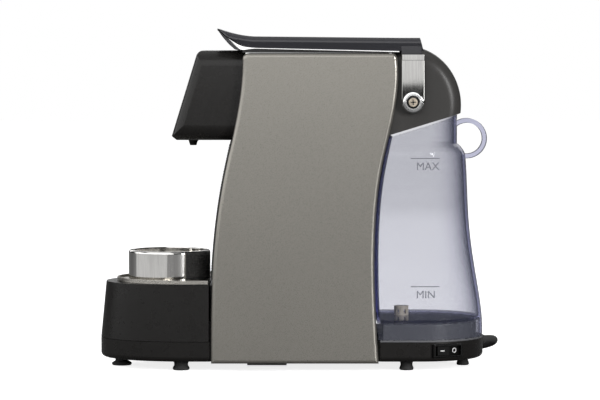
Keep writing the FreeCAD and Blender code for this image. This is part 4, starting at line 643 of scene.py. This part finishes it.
    def arms_and_bosses(self, sizes):
        """Arms: a half circle round the pivot and a rectangle above it, carried across, with a raised band
        across the top. Bosses: the ring profile turned round the pivot."""
        low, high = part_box("lever_frame")
        near = low.y
        x, _, z = frame_joint("lever_hinge")
        half, top = high.x - x, self.ARM_TOP
        body = np.vstack([arc((x, z), half, 180, 360, 28), [(x + half, top), (x - half, top)]])
        arm = plate(body, near + 1.3 * MM, near + 5.5 * MM, sizes.plate_edge)
        left, right, band_top = x - half + 0.3 * MM, x + half - 0.3 * MM, top - 0.2 * MM
        cap = np.array([(left, self.BAND_LOW), (right, self.BAND_LOW), (right, band_top), (left, band_top)])
        band = plate(cap, near + 0.8 * MM, near + 2.4 * MM, 0.3 * MM)
        piece("lever_arms", *mirrored(*together(arm, band)), "lever", "bright_metal", "arm_metal")
        boss = turned(np.array(self.BOSS) * MM, (x, near, z), (0, 1, 0), 96)
        piece("lever_bosses", *mirrored(*boss), "lever", "bright_metal", "bright_metal")


def frame_joint(name):
    """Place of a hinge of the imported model."""
    return next(j["pos_m"] for j in frame["joints"] if j["name"] == name)


class MACHINE_OT_tank_marks(bpy.types.Operator):
    """Raised level marks on the near side of the water tank"""
    bl_idname = "machine.tank_marks"
    bl_label = "Tank level marks"

    # word, height of its line, half the tank's width there, and its length behind the middle of its end
    LEVELS = [("MAX", 0.1945, 0.0604, 0.0614), ("MIN", 0.0775, 0.0612, 0.07)]
    LINE = (0.107, 0.1335)     # from and to, along x
    LINE_WIDE = 0.0007
    LETTERS = 0.0098           # size of the letters
    LETTERS_FROM = (0.112, -0.0102)
    END_FROM = 0.118           # the tank's wall starts to curve round here, along x

    def execute(self, context):
        rise = machine(context).mark_height
        for word, z, half, reach in self.LEVELS:
            (start, end), line_top = self.LINE, z + self.LINE_WIDE
            line = flowing_box([(start, z), (end, z), (end, line_top), (start, line_top)], 24)
            shape = together(plate(line, -rise, 0.0006, 0.0001, 2), self.letters(word, z, rise))
            points, faces = shape
            bulge = np.sqrt(np.clip(1 - (np.clip(points[:, 0] - self.END_FROM, 0, 1) / reach)**2, 0, 1))
            points[:, 1] += -half * bulge - 0.00005
            piece("level_" + word.lower(), points, faces, "tank", "tank_clear", "mark_grey")
        return {"FINISHED"}

    def letters(self, word, z, rise):
        """A word as solid letters below its line, facing the near side."""
        text = bpy.data.curves.new(word, "FONT")
        text.body = word
        text.size = self.LETTERS
        text.extrude = rise
        holder = bpy.data.objects.new(word, text)
        bpy.context.scene.collection.objects.link(holder)
        bpy.context.view_layer.update()
        cut = bpy.data.meshes.new_from_object(holder)
        bpy.data.objects.remove(holder)
        found = np.zeros(len(cut.vertices) * 3)
        cut.vertices.foreach_get("co", found)
        found = found.reshape(-1, 3)
        across, down = self.LETTERS_FROM
        points = np.stack([across + found[:, 0], -found[:, 2], z + down + found[:, 1]], 1)
        return points, [list(face.vertices) for face in cut.polygons]


def flowing_box(corners, steps):
    """A rectangle's outline with its long sides divided, so that it can be bent."""
    t = np.linspace(0, 1, steps)[:, None]
    a, b, c, d = (np.asarray(p) for p in corners)
    return np.vstack([a + (b - a) * t, c + (d - c) * t])


class MACHINE_OT_switch_marks(bpy.types.Operator):
    """On and off marks standing proud of the rocker: a bar and a ring"""
    bl_idname = "machine.switch_marks"
    bl_label = "Switch marks"

    OUTWARD = math.radians(-65.3)     # way the rocker faces, in plan
    FROM_MIDDLE = 6.4 * MM
    RING, RING_THICK = 2.0 * MM, 0.36 * MM
    BAR_LONG, BAR_WIDE, BAR_HIGH = 4.4 * MM, 0.8 * MM, 0.3 * MM

    def execute(self, context):
        low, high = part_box("switch_rocker")
        out = np.array((math.cos(self.OUTWARD), math.sin(self.OUTWARD), 0.0))
        along = np.array((-out[1], out[0], 0.0))
        shape = bmesh.new()
        shape.from_mesh(frame["nodes"]["switch_rocker"].data)
        tree = BVHTree.FromBMesh(shape)
        for name, side in (("mark_on", -1), ("mark_off", 1)):
            start = np.array((low + high) / 2) + out * 0.03 + along * side * self.FROM_MIDDLE
            place, normal, _, _ = tree.ray_cast(start.tolist(), (-out).tolist())
            normal = np.array(normal)
            if name == "mark_off":
                points, faces = turned(arc((self.RING, 0.0), self.RING_THICK, 0, 330, 12), place, normal, 40)
            else:
                outline = rounded_bar(self.BAR_LONG, self.BAR_WIDE)
                bar, faces = plate(outline, -self.BAR_HIGH, self.BAR_HIGH, self.BAR_HIGH / 2, 3)
                flat = along - normal * (along @ normal)
                axes = np.array([flat / np.linalg.norm(flat), normal, (0.0, 0.0, 1.0)])
                points = bar @ axes + np.array(place)
            piece(name, points, faces, "rocker", "gloss_black", "mark_white")
        shape.free()
        return {"FINISHED"}


def rounded_bar(long, wide):
    """A bar's outline with half-round ends."""
    reach, r = (long - wide) / 2, wide / 2
    return np.vstack([arc((reach, 0), r, -90, 90, 7), arc((-reach, 0), r, 90, 270, 7)])


class MACHINE_OT_cord(bpy.types.Operator):
    """Mains cord: from its sleeve round to the coil behind the machine and into the plug"""
    bl_idname = "machine.cord"
    bl_label = "Mains cord"

    # places along the cord, millimetres; the coil lies between them, round its centre
    LEAD = [
        (179.0, 49.3, 19.5), (189.3, 64.0, 18.9), (193.6, 83.5, 15.0), (189.0, 106.5, 9.0),
        (170.0, 125.5, 3.8), (141.0, 131.0, 3.7), (111.0, 120.0, 3.7), (84.0, 92.0, 3.7), (60.5, 83.5, 3.7),
    ]
    CENTRE = (38.0, 122.0)
    END = [(52.0, 160.8, 10.2), (60.0, 160.6, 8.2), (68.0, 160.5, 6.2), (76.0, 160.5, 6.0)]

    def execute(self, context):
        width = machine(context).cord_width
        turn = np.arange(-76.0, -985.0, -20.0)
        wide = np.interp(turn, [-985, -790, -730, -670, -430, -370, -76],
                         [38.6, 38.6, 36.0, 35.4, 35.4, 42.6, 42.8])
        high = np.interp(turn, [-985, -730, -670, -76], [10.8, 10.8, 3.7, 3.7])
        coil = np.hstack([self.CENTRE + wide[:, None] * heading(turn), high[:, None]])
        points = np.vstack([self.LEAD, coil, self.END]) * MM
        line = bpy.data.curves.new("mains_cord", "CURVE")
        line.dimensions = "3D"
        line.bevel_depth = width / 2
        line.bevel_resolution = 5
        line.use_fill_caps = True
        spline = line.splines.new("NURBS")
        spline.points.add(len(points) - 1)
        spline.points.foreach_set("co", np.hstack([points, np.ones((len(points), 1))]).ravel())
        spline.order_u = 3
        spline.use_endpoint_u = True
        spline.resolution_u = 6
        cord = bpy.data.objects.new("mains_cord", line)
        bpy.context.scene.collection.objects.link(cord)
        line.materials.append(bpy.data.materials["cord_black"])
        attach(cord, "machine")
        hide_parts("cord_lead", "cord_coil")
        return {"FINISHED"}


def heading(degrees):
    """Unit steps in plan at angles in degrees from +X."""
    angle = np.radians(degrees)
    return np.stack([np.cos(angle), np.sin(angle)], -1)


class MACHINE_OT_sleeve(bpy.types.Operator):
    """Tapered sleeve with grooves where the cord leaves the base"""
    bl_idname = "machine.sleeve"
    bl_label = "Cord sleeve"

    START = -28.5 * MM        # inner end, along the cord
    TAPER_FROM = -20.0 * MM
    WIDE, NARROW = 6.1 * MM, 4.5 * MM
    PITCH, GROOVE = 3.2 * MM, 0.5 * MM

    def execute(self, context):
        tip = np.array(MACHINE_OT_cord.LEAD[0]) * MM
        h = np.linspace(self.START, 0.0, 120)
        cone = np.interp(h, [self.START, self.TAPER_FROM, 0.0], [self.WIDE, self.WIDE, self.NARROW])
        grooved = (h > -17.5 * MM) * (h < -2.0 * MM)
        grooves = self.GROOVE * np.clip(np.sin(h / self.PITCH * 2 * np.pi) * 3, -1, 0) * grooved
        end_round = 0.8 * MM
        profile = np.vstack([
            [(0.0, h[0])], np.stack([cone + grooves, h], 1),
            arc((self.NARROW - end_round, 0.0), end_round, 0, 90, 5), [(0.0, end_round)]])
        points, faces = turned(profile, tip, (*heading(55), 0.0), 64, False)
        piece("cord_sleeve", points, faces, "machine", "soft_black", "cord_black", ["strain_relief"])
        return {"FINISHED"}


class MACHINE_OT_stage(bpy.types.Operator):
    """Wide pale floor, white surround, soft lights and the camera"""
    bl_idname = "machine.stage"
    bl_label = "Stage"

    # each upright light: the two places in plan that it stands between, then its lower and upper edge, metres
    LIGHTS = {
        "front": ((-2.45, -0.5), (0.75, -3.64), 0.226, 3.2),
        "side": ((-2.3, 1.0), (-2.45, -0.5), 0.226, 1.8),
        "cup": ((-1.1, 0.25), (-0.2, -1.1), 0.002, 0.13),
        "far": ((-2.0, 2.6), (1.6, 2.9), 0.5, 2.3),
        "rear": ((1.75, -2.35), (2.25, -1.85), 0.22, 1.5),
    }
    OVERHEAD_SPREAD = 1.3     # how wide the overhead light looks, radians
    FLOOR_REACH = 9.0
    SENSOR = 36.0

    def execute(self, context):
        values = context.scene.machine_stage
        self.floor()
        for name, where in self.LIGHTS.items():
            self.light(name + "_light", *where, getattr(values, name))
        overhead = bpy.data.lights.new("overhead", "SUN")
        overhead.energy, overhead.angle = values.overhead, self.OVERHEAD_SPREAD
        made = bpy.data.objects.new("overhead", overhead)
        context.scene.collection.objects.link(made)
        self.surround(context, values)
        context.scene.view_settings.view_transform = "Standard"
        lens = bpy.data.cameras.new("camera")
        lens.lens = values.focal
        lens.sensor_width = self.SENSOR
        lens.clip_end = 50.0
        camera = bpy.data.objects.new("camera", lens)
        context.scene.collection.objects.link(camera)
        drop = math.atan2(values.camera_high - values.look_high, values.camera_away)
        camera.location = (values.look_x, -values.camera_away, values.camera_high)
        camera.rotation_euler = (math.pi / 2 - drop, 0.0, 0.0)
        context.scene.camera = camera
        return {"FINISHED"}

    def surround(self, context, values):
        """White to look at, and dimmer as a light, so that the black mouldings stay black."""
        world = bpy.data.worlds.new("surround")
        world.use_nodes = True
        nodes, links = world.node_tree.nodes, world.node_tree.links
        seen, lit = nodes["Background"], nodes.new("ShaderNodeBackground")
        seen.inputs["Color"].default_value = lit.inputs["Color"].default_value = (1.0, 1.0, 1.0, 1.0)
        lit.inputs["Strength"].default_value = values.sky
        choice = nodes.new("ShaderNodeMixShader")
        links.new(nodes.new("ShaderNodeLightPath").outputs["Is Camera Ray"], choice.inputs[0])
        links.new(lit.outputs[0], choice.inputs[1])
        links.new(seen.outputs[0], choice.inputs[2])
        links.new(choice.outputs[0], nodes["World Output"].inputs["Surface"])
        context.scene.world = world

    def floor(self):
        """A wide level sheet. It is pale to look at, and throws little light up onto the machine."""
        x = np.linspace(-self.FLOOR_REACH, self.FLOOR_REACH, 3)
        points = np.stack(np.broadcast_arrays(x[:, None], x[None, :], np.zeros((1, 1))), -1)
        s = Shader("pale_floor")
        pale = s.node("ShaderNodeBsdfPrincipled", {}, {
            "Base Color": s.tint((0.80, 0.80, 0.80), s.noise(0.4, 2.0)),
            "Roughness": s.spread(s.noise(0.05, 3.0), 0.6, 0.7),
            "Emission Color": (1.0, 1.0, 1.0, 1.0), "Emission Strength": 0.8})
        dim = s.node("ShaderNodeBsdfPrincipled", {}, {
            "Base Color": (0.11, 0.11, 0.11, 1.0), "Roughness": 0.7})
        seen = s.node("ShaderNodeLightPath")
        s.close(s.node("ShaderNodeMixShader", {}, {0: seen, 1: dim, 2: pale}))
        mesh = bpy.data.meshes.new("floor")
        mesh.from_pydata(points.reshape(-1, 3).tolist(), [], quads(3, 3))
        mesh.materials.append(s.material)
        made = bpy.data.objects.new("floor", mesh)
        bpy.context.scene.collection.objects.link(made)

    def light(self, name, start, end, low, high, power):
        """An upright rectangular light between two places in plan, facing the machine."""
        lamp = bpy.data.lights.new(name, "AREA")
        lamp.shape = "RECTANGLE"
        across = np.subtract(end, start)
        lamp.size, lamp.size_y, lamp.energy = float(np.hypot(*across)), high - low, power
        middle = np.add(start, end) / 2
        facing = np.array([-across[1], across[0]])
        facing *= -np.sign(facing @ middle)
        made = bpy.data.objects.new(name, lamp)
        made.location = (*middle, (low + high) / 2)
        made.rotation_euler = (math.pi / 2, 0.0, math.atan2(-facing[0], facing[1]))
        bpy.context.scene.collection.objects.link(made)


class MACHINE_PT_pieces(bpy.types.Panel):
    """Lists the machine's sizes and colours, and the pieces that can be made"""
    bl_idname = "MACHINE_PT_pieces"
    bl_label = "Pod coffee machine"
    bl_space_type = "VIEW_3D"
    bl_region_type = "UI"
    bl_category = "Coffee machine"

    def draw(self, context):
        for name in GROUPS:
            group, box = getattr(context.scene, name), self.layout.box()
            for key in group.__annotations__:
                box.prop(group, key)
        for made in PIECES:
            self.layout.operator(made.bl_idname)


GROUPS = {"machine_sizes": MachineSizes, "machine_colours": MachineColours, "machine_stage": StageValues}
PIECES = [MACHINE_OT_finishes, MACHINE_OT_stage, MACHINE_OT_cord, MACHINE_OT_sleeve, MACHINE_OT_cup_ring,
          MACHINE_OT_lever, MACHINE_OT_tank_marks, MACHINE_OT_switch_marks]


def register():
    for made in [*GROUPS.values(), *PIECES, MACHINE_PT_pieces]:
        bpy.utils.register_class(made)
    for name, group in GROUPS.items():
        setattr(bpy.types.Scene, name, PointerProperty(type=group))


def unregister():
    for name in GROUPS:
        delattr(bpy.types.Scene, name)
    for made in [MACHINE_PT_pieces, *reversed(PIECES), *GROUPS.values()]:
        bpy.utils.unregister_class(made)


def main():
    register()
    for made in PIECES:
        module, name = made.bl_idname.split(".")
        getattr(getattr(bpy.ops, module), name)()


if __name__ == "__main__":
    main()
